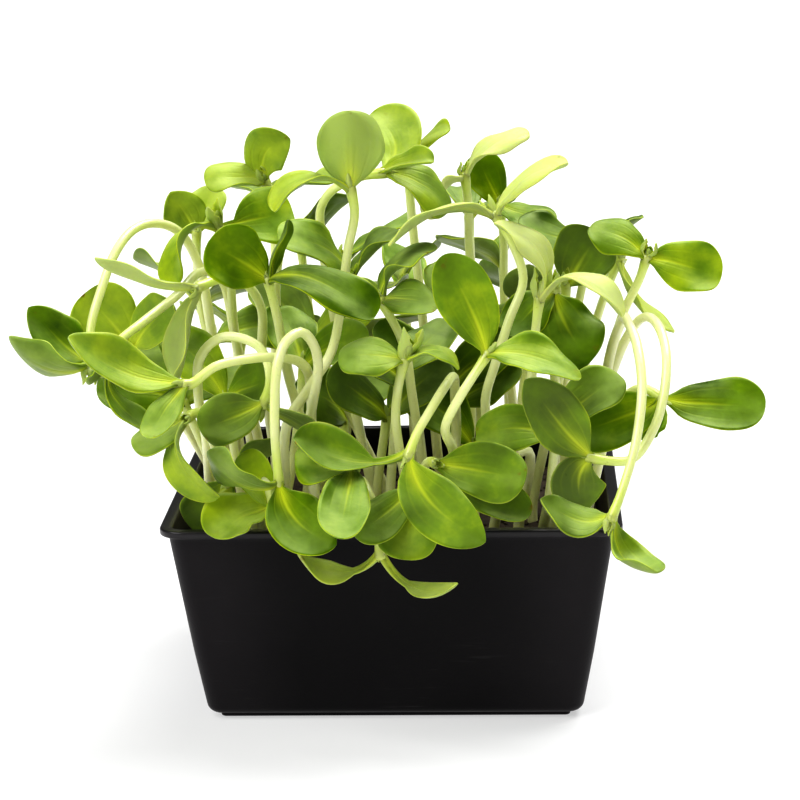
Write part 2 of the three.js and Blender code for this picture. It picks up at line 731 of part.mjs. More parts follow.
// Sample points on a seedling above the soil, each with the room that it keeps
function samplesOf(plan) {
  const curve = stemCurve(plan);
  const samples = [];
  const last = curve.points.length - 1;
  for (let i = 1; i < last; i += 1) {
    const steps = Math.ceil(curve.points[i].distanceTo(curve.points[i + 1]) / SAMPLE_STEP);
    for (let j = 0; j < steps; j += 1) {
      samples.push({ at: curve.getPoint((i + j / steps) / last), room: STEM_ROOM, rooted: i === 1 });
    }
  }
  const along = curve.getTangent(1);
  for (const leaf of plan.leaves) {
    const blade = new Blade(leaf, plan.stem[plan.stem.length - 1], along);
    for (let i = 0; i <= SAMPLE_ROWS; i += 1) {
      for (let j = 0; j <= SAMPLE_COLUMNS; j += 1) {
        const at = blade.at((2 * j) / SAMPLE_COLUMNS - 1, i / SAMPLE_ROWS, 0);
        samples.push({ at, room: BLADE_ROOM, rooted: false });
      }
    }
  }
  return samples;
}

// True where a sample keeps clear of the tray and the growing medium
function clearsTray({ at, rooted }) {
  if (at.z > TRAY_HEIGHT + TRAY_ROOM) return true;
  const out = Math.max(Math.abs(at.x), Math.abs(at.y));
  if (at.z > TRAY_HEIGHT - RIM_DROP - TRAY_ROOM && out > WALL_TOP_HALF - WALL - TRAY_ROOM) {
    return out > RIM_HALF + TRAY_ROOM;
  }
  if (out > wallHalf(at.z) + TRAY_ROOM) return true;
  return out < wallHalf(at.z) - WALL - TRAY_ROOM && (rooted || at.z > SOIL_TOP + SOIL_ROOM);
}

// The room round a seedling's samples
function boxOf(samples) {
  return new THREE.Box3().setFromPoints(samples.map((sample) => sample.at)).expandByScalar(STEM_ROOM * 2);
}

// True where samples keep clear of every seedling placed
function clearsOthers(samples, box, placed) {
  for (const other of placed) {
    if (!other.box.intersectsBox(box)) continue;
    for (const { at, room } of samples) {
      if (!other.box.containsPoint(at)) continue;
      for (const sample of other.samples) {
        if (sample.at.distanceTo(at) < sample.room + room) return false;
      }
    }
  }
  return true;
}

// True where twins part and stay apart
function twinsPart(plan, twin) {
  const high = ({ at }) => at.z > SOIL_TOP + TWIN_FORK;
  const samples = samplesOf(plan).filter(high);
  const others = samplesOf(twin).filter(high);
  return clearsOthers(samples, boxOf(samples), [{ samples: others, box: boxOf(others) }]);
}

function rootIsFree(root, placed) {
  if (Math.max(...root.map(Math.abs)) > ROOT_LIMIT) return false;
  const apart = (other) => Math.hypot(root[0] - other.plan.root[0], root[1] - other.plan.root[1]);
  return placed.every((other) => apart(other) > ROOT_SPACING);
}

// Tries a seedling with small, growing nudges until it stands clear of all that is placed already
function place(name, draft, placed) {
  for (let i = 0; i < TRIES; i += 1) {
    const plan = draft(i * NUDGE_GROWTH);
    if (!rootIsFree(plan.root, placed)) continue;
    const samples = plan.twin ? [...samplesOf(plan), ...samplesOf(plan.twin)] : samplesOf(plan);
    if (!samples.every(clearsTray)) continue;
    const box = boxOf(samples);
    if (clearsOthers(samples, box, placed) && (!plan.twin || twinsPart(plan, plan.twin))) {
      placed.push({ plan, samples, box, tries: i });
      return;
    }
  }
  throw new Error(`${name} finds no free place`);
}

// Moves a seen seedling a little: mostly nearer or further, its leaves with it
function nudged(seen, draw, size) {
  const move = () => [NUDGE_FLAT, 1, NUDGE_FLAT].map((share) => (draw() - 0.5) * 2 * size * share);
  const added = (place, shift) => place.map((value, k) => value + (shift[k] ?? 0));
  const whole = move();
  const stem = seen.stem.map((point) => added(point, whole));
  const root = added(seen.root, [move()[1], move()[1]]);
  const leaves = seen.leaves.map((leaf) => ({ ...leaf, tip: added(added(leaf.tip, whole), move()) }));
  return { ...seen, root, stem, leaves };
}

// A seedling drawn by rule from a root: it leans outwards and holds its two leaves opposite each other
function shoot(root, height, range, draw) {
  const between = ([low, high]) => low + (high - low) * draw();
  const lean = between(LEAN);
  const node = [root[0] * lean + between(SWAY), root[1] * lean + between(SWAY), between(height)];
  const middle = root.map((value, k) => value + (node[k] - value) * between(BELLY));
  const heading = between(range.heading);
  const leaves = [0, 1].map((side) => {
    const turn = heading + side * Math.PI + between(SPLAY);
    const rise = between(RISE);
    const length = between(LEAF_LENGTH);
    const out = length * Math.cos(rise);
    const step = [out * Math.cos(turn), out * Math.sin(turn), length * Math.sin(rise)];
    const tip = node.map((value, k) => value + step[k]);
    const face = [range.face[0] * Math.cos(turn), range.face[1], range.face[2]];
    return { tip, face, width: between(LEAF_WIDTH), arch: between(LEAF_ARCH) };
  });
  return { root, stem: [[...middle, (SOIL_TOP + node[2]) / 2], node], leaves };
}

// A seedling drawn by rule within a range, with its twin where the range has twins
function grown(range, draw) {
  const [near, far] = range.depth;
  const root = [(draw() * 2 - 1) * ROOT_LIMIT, near + (far - near) * draw()];
  const plan = shoot(root, range.height, range, draw);
  if (!range.twin) return plan;
  return { ...plan, twin: shoot([root[0] + TWIN_APART, root[1]], range.twin, range, draw) };
}

function placeSeedlings() {
  const draw = stream(SEED);
  const placed = [];
  SEEN.forEach((seen, i) => place(`seen seedling ${i + 1}`, (size) => nudged(seen, draw, size), placed));
  for (const range of GROWN) {
    for (let i = 1; i <= range.count; i += 1) place(`grown seedling ${i}`, () => grown(range, draw), placed);
  }
  return placed;
}

// Colours and finishes
const BLACK_PLASTIC = new THREE.MeshStandardMaterial({ color: 0x17171a, roughness: 0.42, metalness: 0 });
const MEDIUM = new THREE.MeshStandardMaterial({ color: 0x2e2119, roughness: 0.95, metalness: 0 });
const GREENS = [0x5f9a3c, 0x4c8433, 0x7bb04a, 0x3f7430].map(
  (color) => new THREE.MeshStandardMaterial({ color, roughness: 0.5, metalness: 0 }),
);

function named(name, solid, material) {
  const mesh = new THREE.Mesh(geometryOf(solid), material);
  mesh.name = name;
  return mesh;
}

const placed = placeSeedlings();
const plans = placed.map((one) => one.plan);
const microgreens = new THREE.Group();
microgreens.add(named("tray", makeTray(), BLACK_PLASTIC));
microgreens.add(named("soil", makeSoil(plans), MEDIUM));
plans.forEach((plan, i) => {
  const name = `seedling_${String(i + 1).padStart(2, "0")}`;
  microgreens.add(named(name, makeSeedling(plan), GREENS[i % GREENS.length]));
});

export default microgreens;
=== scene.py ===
"""Sunflower microgreens in a square black plastic tray: the look of every seedling, the tray and its soil."""

import math
import random

import bmesh
import bpy
from mathutils import Matrix, Vector, noise


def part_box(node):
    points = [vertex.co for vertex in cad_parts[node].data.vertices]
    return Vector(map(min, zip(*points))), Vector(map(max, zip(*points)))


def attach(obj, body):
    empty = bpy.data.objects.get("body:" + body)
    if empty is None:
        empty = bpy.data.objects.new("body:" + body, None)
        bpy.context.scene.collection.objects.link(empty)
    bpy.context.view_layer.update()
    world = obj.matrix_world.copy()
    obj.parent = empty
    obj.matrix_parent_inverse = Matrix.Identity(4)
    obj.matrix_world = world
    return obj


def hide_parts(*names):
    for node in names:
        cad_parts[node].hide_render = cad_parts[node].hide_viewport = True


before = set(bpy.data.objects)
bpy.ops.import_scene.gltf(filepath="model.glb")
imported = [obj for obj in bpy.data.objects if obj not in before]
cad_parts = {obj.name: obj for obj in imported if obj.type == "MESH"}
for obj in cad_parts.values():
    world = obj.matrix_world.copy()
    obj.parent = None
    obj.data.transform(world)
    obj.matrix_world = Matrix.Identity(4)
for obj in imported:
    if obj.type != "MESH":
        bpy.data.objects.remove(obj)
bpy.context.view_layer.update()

bl_info = {
    "name": "Sunflower Microgreens Tray",
    "version": (1, 0, 0),
    "blender": (4, 5, 0),
    "location": "View3D > Sidebar > Microgreens",
    "description": "Grows sunflower seedlings out of a square black tray of soil",
    "category": "Object",
}

# Every size below is in millimetres; finished meshes are in metres
MM = 0.001

# Tray, as it was built
TRAY_HEIGHT = 59
RIM_HALF = 65
RIM_DROP = 2.2
RIM_ROUND = 0.6
WALL_TOP_HALF = 62.6
WALL_BOTTOM_HALF = 54.2
WALL = 1.2
BOTTOM_ROUND = 3
CORNER = 5
FOOT_HEIGHT = 1.6
FOOT_INSET = 4
FLOOR = 3

# Growing medium
SOIL_TOP = 46
SOIL_RELIEF = 0.9
SOIL_WAVE = 0.12
SOIL_PHASE = 1
SOIL_GAP = 0.5
ROOT_DEPTH = 12
ROOT_LIMIT = 54

# Stems
STEM_FOOT = 1.7
STEM_NECK = 1.35
STEM_STRAIGHT = 4

# Seed leaves
BLADE_THICK = 0.9
STALK_THICK = 2.2
STALK_LENGTH = 0.08
STALK_HALF = 1.2
FULL_BASE = 0.64
FULL_TIP = 0.42
CUP = 0.12
START_BACK = 1.2
BOW = 4 / 3
SECOND_REACH = 0.25
SECOND_RISE = 0.1
THIRD_REACH = 0.7

# How a seedling is placed: small growing nudges for a seen one, new draws for a grown one
TRIES = 6000
NUDGE_GROWTH = 0.01
NUDGE_FLAT = 0.35
SAME_PLACE = 0.002
SEED = 20917
GROWN = [
    {"count": 8, "height": (66, 90), "depth": (-54, 0), "heading": (-1, 1), "face": (-0.3, -0.8, 0.6)},
    {"count": 5, "height": (90, 108), "depth": (-30, 20), "heading": (-1, 1), "face": (-0.3, -0.8, 0.6)},
    {"count": 3, "height": (118, 140), "depth": (0, 40), "heading": (0, math.pi), "face": (-0.3, 0, 1)},
    {
        "count": 4, "height": (90, 122), "twin": (76, 104), "depth": (20, 54), "heading": (-1, 1),
        "face": (-0.3, 0.5, 0.8),
    },
]
TWIN_APART = 2
LEAN = (0.8, 1.25)
SWAY = (-7, 7)
BELLY = (0.2, 0.6)
SPLAY = (-0.4, 0.4)
RISE = (-0.1, 0.8)
LEAF_LENGTH = (22, 29)
LEAF_WIDTH = (13, 17)
LEAF_ARCH = (0, 0.14)

# Which way a seed leaf's upper face looks
UP = (0, -0.15, 1)
FRONT = (0, -0.9, 0.45)
BACK = (0, 0.9, 0.45)
LEFT = (-1, -0.3, 0.5)
RIGHT = (1, -0.3, 0.5)
UP_LEFT = (-0.6, -0.2, 0.8)
UP_RIGHT = (0.6, -0.2, 0.8)
UP_FRONT = (0, -0.55, 0.8)
UP_BACK = (0, 0.5, 0.85)


def leaf(tip, width, face, **more):
    """A leaf. more: arch, sway and cup bend it, stalk is its stalk's share, point draws out its tip."""
    return {"tip": tip, "width": width, "face": face, **more}


def seedling(root, tone, stem, *leaves, **more):
    """A seedling. more: how far it has turned pale, the size of its bud and a true_leaf that hangs."""
    return {"root": root, "tone": tone, "stem": stem, "leaves": leaves, **more}


# Seedlings seen from the front, as the frame has them: the root, the tone from dark to bright green,
# the stem up to its leaves, and the leaves
# Each tone is partly the leaf's own green and partly painted light and shade. Leaves that glow with light from
# behind are given bright tones, and leaves in shade dark ones.
SEEN = [
    # tall one in front, with a round leaf standing on top
    seedling(
        (-30, -38), 0.95,
        [(-29, -50, 86), (-23, -51, 96), (-16, -50, 107), (-13, -48, 121), (-11, -46, 135),
         (-9, -44, 145), (-10, -44, 152)],
        leaf((-10, -46, 174), 19, BACK, cup=0.35, point=0.6),
        leaf((-31, -52, 147), 14, UP_LEFT, arch=0.24, stalk=0.2),
        pale=0.1,
    ),
    # the one behind its shoulder, with big true leaves
    seedling(
        (-6, -14), 0.65,
        [(-18, -18, 116), (-20, -20, 134), (-20, -22, 143), (-16, -25, 149), (-8, -28, 153),
         (-1, -28, 154)],
        leaf((-6, -10, 168), 17, FRONT, sway=0.2, cup=0.3),
        leaf((17, -24, 143), 15, UP_FRONT, arch=0.12),
        leaf((13, -34, 158), 8, UP_FRONT, arch=0.1, cup=0.5),
    ),
    seedling(
        (12, 18), 0.65, [(7, 12, 110), (5, 8, 135), (4, 4, 151)],
        leaf((17, -4, 163), 12, UP_LEFT, arch=0.1),
        leaf((-8, 22, 154), 14, UP_BACK),
    ),
    # pale twig on the skyline
    seedling(
        (26, 6), 0.8, [(23, 0, 112), (22, -4, 130), (22, -5, 140), (21, -5, 150)],
        leaf((40, -8, 162), 12, UP_LEFT, arch=0.12),
        leaf((11, -12, 138), 12, LEFT, arch=0.15),
        pale=0.7,
    ),
    # long leaf to the upper right, stem bent at its foot
    seedling(
        (36, -26), 0.8,
        [(38, -35, 74), (32, -39, 74), (28, -41, 79), (26, -41, 90), (29, -40, 101), (33, -38, 113),
         (37, -36, 124), (34, -34, 134), (29, -32, 142)],
        leaf((50, -34, 156), 13, UP_LEFT, arch=0.1),
        leaf((0, -46, 136), 12, UP_BACK, arch=0.14, point=0.7),
        pale=0.5, bud=6,
    ),
    seedling(
        (36, 30), 0.55, [(32, 22, 108), (32, 18, 127), (31, 15, 138)],
        leaf((24, 16, 153), 12, FRONT),
        leaf((46, 4, 132), 14, UP_FRONT),
    ),
    seedling(
        (44, 14), 0.2, [(52, 12, 100), (55, 8, 116), (55, 6, 125)],
        leaf((37, 0, 135), 17, UP_FRONT, arch=0.08),
        leaf((73, 22, 133), 15, UP_BACK, point=0.6),
    ),
    seedling(
        (40, -4), 0.2, [(49, -8, 95), (50, -14, 111), (50, -16, 119)],
        leaf((60, -14, 134), 19, FRONT, cup=0.2),
        leaf((35, 4, 111), 15, UP_BACK, arch=0.1),
    ),
    # right-hand pair held out flat
    seedling(
        (52, 4), 0.45, [(62, -6, 89), (66, -16, 109), (71, -24, 122), (73, -27, 129)],
        leaf((57, -24, 137), 13, UP_FRONT, arch=0.1),
        leaf((94, -30, 124), 15, FRONT, cup=0.15),
    ),
    seedling(
        (50, 20), 0.75, [(58, 12, 98), (63, 2, 116), (66, -2, 124)],
        leaf((81, -10, 103), 10, RIGHT, arch=-0.14),
        leaf((56, 22, 112), 14, UP_BACK),
        pale=0.3,
    ),
    # yellowing leaves arched over
    seedling(
        (28, -38), 0.6,
        [(34, -44, 77), (37, -45, 86), (39, -45, 93), (40, -45, 103), (41, -44, 114), (42, -43, 121)],
        leaf((30, -43, 143), 12, UP_RIGHT, arch=0.26),
        leaf((65, -50, 117), 12, UP, arch=0.34),
        pale=0.6, bud=9,
    ),
    seedling(
        (46, -14), 0.15, [(47, -18, 85), (46, -24, 104), (47, -27, 120)],
        leaf((57, -38, 101), 19, FRONT, sway=0.1, cup=0.1),
        leaf((33, -32, 108), 14, UP_FRONT),
    ),
    # arch on the right that ends in the spoon-shaped leaf over the rim
    seedling(
        (50, -30), 0.45,
        [(59, -24, 81), (63, -25, 102), (66, -32, 112), (67, -43, 113), (69, -54, 109), (70, -64, 99),
         (68, -71, 85), (64, -77, 73), (61, -80, 66)],
        leaf((42, -81, 72), 13, UP_FRONT, arch=-0.22, point=0.7),
        leaf((73, -90, 54), 14, UP_RIGHT, arch=-0.3, sway=-0.16, cup=0.4),
    ),
    # outer arch on the right, its pair hanging back over the tray
    seedling(
        (54, -12), 0.25,
        [(63, -8, 84), (68, -12, 100), (73, -20, 110), (77, -36, 112), (79, -50, 106), (78, -57, 96),
         (75, -60, 87), (69, -62, 79), (62, -63, 79), (57, -63, 80)],
        leaf((41, -62, 101), 16, FRONT, cup=0.3, point=0.65),
        leaf((58, -72, 64), 15, FRONT, sway=0.16, cup=0.25, point=0.6),
    ),
    # leaf furthest right
    seedling(
        (54, -44), 0.35, [(60, -38, 76), (64, -38, 88), (71, -42, 94), (77, -45, 91)],
        leaf((105, -50, 90), 16, FRONT, cup=0.12),
        leaf((50, -50, 82), 16, FRONT, cup=0.2),
        true_leaf=leaf((71, -48, 80), 8, FRONT),
    ),
    # thick stem in the middle that bends forward over the front rim
    seedling(
        (16, -34), 0.35,
        [(18, -28, 78), (18, -36, 91), (18, -48, 99), (16, -60, 99), (12, -68, 94), (8, -74, 88),
         (6, -77, 83)],
        leaf((-25, -80, 89), 14, UP_FRONT, arch=-0.14, cup=0.5, stalk=0.3),
        leaf((27, -88, 62), 16, FRONT, sway=0.1, cup=0.25, point=0.7),
    ),
    seedling(
        (9, -44), 0.4, [(9, -50, 71), (11, -58, 77), (13, -64, 78)],
        leaf((38, -70, 75), 16, FRONT, cup=0.15),
        leaf((39, -66, 64), 12, FRONT, arch=-0.1, cup=0.2),
    ),
    # hairpin stem in front
    seedling(
        (-20, -46), 0.4,
        [(-23, -54, 83), (-21, -58, 94), (-19, -61, 105), (-20, -64, 112), (-23, -67, 116),
         (-27, -71, 114), (-29, -74, 109), (-30, -76, 99), (-30, -78, 88), (-29, -80, 76)],
        leaf((-48, -80, 86), 15, UP_BACK, arch=-0.2),
        leaf((-13, -91, 62), 16, FRONT, sway=0.12, cup=0.3, point=0.65),
    ),
    seedling(
        (-36, -50), 0.6, [(-38, -56, 72), (-36, -64, 76), (-33, -71, 74), (-31, -74, 67)],
        leaf((-47, -79, 61), 17, UP_FRONT, sway=0.16, cup=0.35),
        leaf((-40, -66, 82), 10, FRONT, cup=0.3),
    ),
    # twig hanging in front of the tray
    seedling(
        (-10, -53), 0.8, [(-8, -62, 72), (-6, -71, 73), (-3, -75, 66), (-2, -77, 55)],
        leaf((-25, -82, 58), 8, UP_FRONT, arch=-0.34, stalk=0.3, point=0.8),
        leaf((19, -86, 50), 7, UP_FRONT, arch=-0.36, stalk=0.34, point=0.7),
        pale=0.25, bud=1.5,
    ),
    seedling(
        (2, -50), 0.5, [(5, -60, 74), (7, -68, 77), (7, -74, 73)],
        leaf((5, -84, 56), 17, FRONT, cup=0.15),
        leaf((-8, -86, 63), 13, FRONT, cup=0.15),
    ),
    seedling(
        (-15, -36), 0.5, [(-16, -48, 77), (-15, -56, 81), (-14, -61, 79)],
        leaf((-14, -79, 64), 14, FRONT, cup=0.2),
        leaf((-34, -62, 82), 14, UP_FRONT),
    ),
    # left front, a narrow leaf curling down outside the corner
    seedling(
        (-46, -46), 0.55, [(-49, -48, 76), (-51, -54, 86), (-53, -60, 92), (-55, -66, 92)],
        leaf((-46, -76, 72), 11, LEFT, arch=0.3, cup=0.4),
        leaf((-69, -74, 85), 10, UP_FRONT),
        pale=0.15,
    ),
    seedling(
        (-38, -40), 0.35, [(-39, -44, 69), (-41, -49, 72), (-44, -52, 70)],
        leaf((-53, -56, 56), 16, FRONT, cup=0.15),
        leaf((-30, -56, 84), 12, UP_BACK),
    ),
    seedling(
        (-50, -34), 0.3,
        [(-56, -42, 80), (-57, -50, 95), (-56, -51, 106), (-50, -53, 112), (-43, -55, 112),
         (-38, -57, 109), (-36, -59, 101), (-38, -60, 94)],
        leaf((-57, -56, 85), 14, FRONT, arch=0.06),
        leaf((-24, -60, 86), 11, UP_BACK),
    ),
    # far left, over the high arch
    seedling(
        (-50, -8), 0.3,
        [(-54, -10, 106), (-57, -14, 127), (-62, -20, 137), (-68, -26, 140), (-73, -33, 139),
         (-77, -40, 134), (-80, -46, 126), (-83, -52, 115), (-83, -56, 105)],
        leaf((-105, -60, 114), 15, UP_BACK, arch=-0.22, point=0.7),
        leaf((-101, -48, 120), 13, UP_LEFT, arch=-0.12, cup=0.4, point=0.7),
        bud=6,
    ),
    seedling(
        (-34, -14), 0.6,
        [(-38, -22, 99), (-37, -32, 116), (-41, -44, 126), (-47, -52, 128), (-52, -58, 127)],
        leaf((-79, -66, 137), 11, UP_BACK, arch=-0.08, point=0.8),
        leaf((-58, -60, 101), 12, LEFT, cup=0.5),
        pale=0.4,
    ),
    seedling(
        (-44, 4), 0.45,
        [(-48, -4, 104), (-50, -14, 121), (-55, -28, 126), (-60, -42, 122), (-68, -54, 117),
         (-75, -62, 112), (-78, -65, 107)],
        leaf((-64, -66, 88), 11, UP_RIGHT, arch=-0.12, sway=0.1),
        leaf((-84, -66, 101), 9, UP_BACK),
    ),
    # left front leaf held out over the corner, on a stem that crosses the front
    seedling(
        (-22, -26), 0.65,
        [(-23, -36, 90), (-24, -50, 102), (-31, -64, 107), (-38, -71, 108), (-46, -76, 107),
         (-52, -79, 103), (-54, -80, 103)],
        leaf((-83, -83, 117), 14, UP_FRONT, arch=-0.1, cup=0.3, point=0.55),
        leaf((-64, -90, 94), 9, UP_FRONT),
    ),
    seedling(
        (-54, 10), 0.65, [(-68, -4, 83), (-73, -16, 94), (-76, -22, 103)],
        leaf((-89, -20, 119), 19, FRONT, cup=0.15),
        leaf((-63, -30, 118), 14, FRONT),
    ),
    # top left pair
    seedling(
        (-26, 12), 0.75, [(-36, 6, 111), (-34, 0, 130), (-35, -5, 143), (-37, -8, 149)],
        leaf((-29, -14, 162), 14, FRONT, sway=-0.24, cup=0.3, point=0.6),
        leaf((-54, -14, 150), 14, UP_FRONT, arch=0.1),
    ),
    seedling(
        (-40, 22), 0.8, [(-58, 14, 101), (-59, 4, 121), (-58, -4, 134)],
        leaf((-65, -6, 146), 13, FRONT, point=0.8),
        leaf((-54, 8, 145), 11, FRONT),
    ),
    seedling(
        (-38, -2), 0.72, [(-47, -10, 105), (-47, -20, 125), (-49, -27, 139)],
        leaf((-60, -42, 125), 14, UP_LEFT, arch=0.3),
        leaf((-28, -22, 142), 18, FRONT, cup=0.2, stalk=0.25),
        bud=9,
    ),
    seedling(
        (-18, -14), 0.3, [(-29, -38, 95), (-31, -48, 115), (-33, -53, 127)],
        # This leaf's own tone is raised as painted light: it faces forward, away from the key light.
        leaf((-48, -61, 139), 18, FRONT, cup=0.2, tone=0.6),
        leaf((-3, -63, 118), 14, UP_FRONT, arch=0.16),
        leaf((-27, -54, 144), 7, RIGHT, cup=0.4),
    ),
    seedling(
        (-4, 4), 0.38, [(-17, -4, 89), (-13, -14, 109), (-12, -20, 122)],
        leaf((-31, -38, 137), 18, UP_FRONT, arch=0.12),
        leaf((2, -14, 135), 14, UP_LEFT, arch=0.1),
    ),
    # middle
    seedling(
        (10, -24), 0.35, [(6, -40, 92), (4, -46, 108), (-2, -47, 121)],
        leaf((13, -46, 135), 16, UP_LEFT, arch=0.14, sway=-0.16),
        leaf((14, -54, 120), 12, UP_FRONT, arch=0.1),
    ),
    seedling(
        (6, -34), 0.55, [(2, -58, 89), (3, -61, 99), (5, -62, 107)],
        leaf((-13, -66, 107), 14, UP_FRONT, arch=0.1),
        leaf((20, -61, 104), 10, UP, arch=0.24, point=0.6),
        bud=10,
    ),
    seedling(
        (22, -53), 0.55, [(18, -61, 79), (16, -71, 89), (20, -75, 98), (28, -73, 110)],
        leaf((17, -70, 136), 16, FRONT, cup=0.25, point=0.55),
        leaf((54, -80, 104), 13, UP_FRONT, arch=0.1, point=0.6),
    ),
]

# Fine shape of the stems, in millimetres
STEM_SIDES = 12
STEM_RING = 2
FEWEST_RINGS = 8
STEM_SLIM = 0.1
STEM_UNEVEN = 0.06
STEM_UNEVEN_LENGTH = 14
NODE_SWELL = 0.35
NODE_REACH = 3.5
DOME_RINGS = 3
DOME_HEIGHT = 0.7
CURVE_FINE = 240
BESIDE = 0.0001

# Fine shape of the leaves, in millimetres and in shares of their length
BLADE_GRID = (16, 26)
ROW_BIAS = 1.7
EDGE_THIN = 0.55
ROUND_END = (0.9, 1)
STALK_FADE = 4
FOOT_FADE = (0.1, 0.5)
GROOVE = 0.22
RIDGE = 0.28
RIB_HALF = 0.8
RIB_START = (0, 0.15)
RIB_END = (0.5, 0.95)
WAVE_HEIGHT = 1.3
WAVE_LENGTH = 9
WAVE_FADE = (0.1, 0.5)
WAVES_ALONG = 2
EDGE_CURL = 0.7
CURL_FADE = (0.1, 0.4)
CURLS_ALONG = 2.2
CURL_SIDES = 1.7
RIPPLE = 0.08
RIPPLES_ALONG = 3
RIPPLE_SEED = 9
CURL_SEED = 20
TEETH = 5
TOOTH_FADE = (0.1, 0.3)
TONE_SPREAD = 0.16

# Growing tips: two pairs of true leaves, each pair with its tone and with how far it reaches up and out
TIP_GRID = (6, 10)
TIP_SHAPE = {"cup": 0.7, "stalk": 0.12, "point": 0.8}
TIP_TEETH = 0.5
TIP_THICK = 0.45
TIP_WIDTH = 0.42
TIP_ARCH = -0.12
TIP_PALE = 0.3
TIP_TONES = (0.95, 0.65)
TIP_PAIRS = ((0.95, 0.3), (0.6, 0.12))
TIP_SIZE = (3, 6)
TRUE_LEAF_TONE = 0.4

# Fine shape of the tray and the soil, in millimetres. Lumps are as wide as they say, in layers of one noise
FLOOR_ROUND = 1.5
SOIL_ROUGH = 0.6
SOIL_LUMPS = ((5, 0), (1.8, 3))
CRUMB_INSET = 2
CRUMB_SIZES = (0.3, 1)
CRUMB_WIDTHS = (0.6, 1)
CRUMB_HEIGHTS = (0.4, 0.8)
CRUMB_TIP = 0.6
CRUMB_LIFT = 0.2

# How near two points are one, and how far a piece may reach out of its place: growing tips stand above what the
# frame has
MERGE = 0.0001
TRAY_ROOM = 0.5
SOIL_ROOM = 2.5
SEEDLING_ROOM = 6

# Soft patches of the materials: their size in metres and their contrast
MOTTLE = {
    "leaf": (0.009, 1.6),
    "leaf speckle": (0.0011, 1),
    "leaf marks": (0.003, 1),
    "stem": (0.008, 1.4),
    "stem speckle": (0.0009, 1),
    "plastic": (0.03, 1.8),
    "plastic grain": (0.0006, 1.5),
    "soil": (0.004, 2.2),
    "soil speckle": (0.0007, 2),
}
SCRATCH_SCALE = (60, 60, 900)
SCRATCH_TURN = (0.1, 0.25, 0)

# Studio, in metres
WHITE = (1, 1, 1, 1)
KEY_PLACE = (0.35, 0.4, 1.3)
SIDE_PLACE = (-0.8, -0.7, 1.1)
LIGHTS_AIM = (0, 0, 0.09)
SENSOR = 36  # millimetres


def stream(seed):
    """A repeatable stream of numbers from 0 to 1, the one that the frame was grown with."""
    whole = 0xFFFFFFFF
    state = seed

    def draw():
        nonlocal state
        state = (state + 0x6D2B79F5) & whole
        t = ((state ^ (state >> 15)) * (1 | state)) & whole
        t = ((t + (t ^ (t >> 7)) * (61 | t)) ^ t) & whole
        return (t ^ (t >> 14)) / (whole + 1)

    return draw


def nudged(seen, draw, size):
    """A seen seedling moved a little: mostly nearer or further, its leaves with it."""

    def move():
        return [(draw() - 0.5) * 2 * size * share for share in (NUDGE_FLAT, 1, NUDGE_FLAT)]

    def added(place, shift):
        return [value + step for value, step in zip(place, shift)]

    whole = move()
    root = added(seen["root"], [move()[1], move()[1]])
    leaves = [{**one, "tip": added(added(one["tip"], whole), move())} for one in seen["leaves"]]
    return {**seen, "root": root, "stem": [added(point, whole) for point in seen["stem"]], "leaves": leaves}


def shoot(root, height, ranges, draw):
    """A seedling drawn by rule: it leans outwards and holds its two leaves opposite each other."""

    def between(ends):
        return ends[0] + (ends[1] - ends[0]) * draw()

    lean = between(LEAN)
    node = [root[0] * lean + between(SWAY), root[1] * lean + between(SWAY), between(height)]
    middle = [value + (node[k] - value) * between(BELLY) for k, value in enumerate(root)]
    heading = between(ranges["heading"])
    leaves = []
    for side in range(2):
        turn = heading + side * math.pi + between(SPLAY)
        rise = between(RISE)
        length = between(LEAF_LENGTH)
        out = length * math.cos(rise)
        reach = (out * math.cos(turn), out * math.sin(turn), length * math.sin(rise))
        tip = [value + step for value, step in zip(node, reach)]
        face = [ranges["face"][0] * math.cos(turn), *ranges["face"][1:]]
        width = between(LEAF_WIDTH)
        leaves.append(leaf(tip, width, face, arch=between(LEAF_ARCH)))
    return {"root": root, "stem": [[*middle, (SOIL_TOP + node[2]) / 2], node], "leaves": leaves}


def grown(ranges, draw):
    """A seedling drawn by rule within a range, with its twin where the range has twins."""
    near, far = ranges["depth"]
    root = [(draw() * 2 - 1) * ROOT_LIMIT, near + (far - near) * draw()]
    plan = shoot(root, ranges["height"], ranges, draw)
    if "twin" in ranges:
        plan["twin"] = shoot([root[0] + TWIN_APART, root[1]], ranges["twin"], ranges, draw)
    return plan


def root_in_frame(name):
    """Where a seedling's root ends in the frame, across and back, in millimetres."""
    lowest = (SOIL_TOP - ROOT_DEPTH + 0.1) * MM
    ring = [corner.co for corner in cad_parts[name].data.vertices if corner.co.z < lowest]
    return [(min(c[k] for c in ring) + max(c[k] for c in ring)) / 2 / MM for k in range(2)]


def stand_in_frame(name, draft):
    """Repeats the tries until the seedling's root is where the frame has it."""
    place = root_in_frame(name)
    for i in range(TRIES):
        plan = draft(i * NUDGE_GROWTH)
        x, y = plan["root"]
        middle = (x + TWIN_APART / 2, y) if "twin" in plan else (x, y)
        if math.dist(middle, place) < SAME_PLACE:
            return {**plan, "name": name}
    raise RuntimeError(f"{name} stands somewhere else in the frame")


def seedling_plans():
    """Every seedling's plan, in the frame's order."""
    draw = stream(SEED)
    drafts = [lambda size, seen=seen: nudged(seen, draw, size) for seen in SEEN]
    for ranges in GROWN:
        drafts += [lambda size, ranges=ranges: grown(ranges, draw)] * ranges["count"]
    return [stand_in_frame(f"seedling_{i + 1:02d}", draft) for i, draft in enumerate(drafts)]


def smooth_step(low, high, value):
    """Goes smoothly from 0 to 1 as the value goes from low to high."""
    share = min(1, max(0, (value - low) / (high - low)))
    return share * share * (3 - 2 * share)


def direction(place, share):
    """Which way a curve runs at a share of it."""
    return (place(min(1, share + BESIDE)) - place(max(0, share - BESIDE))).normalized()


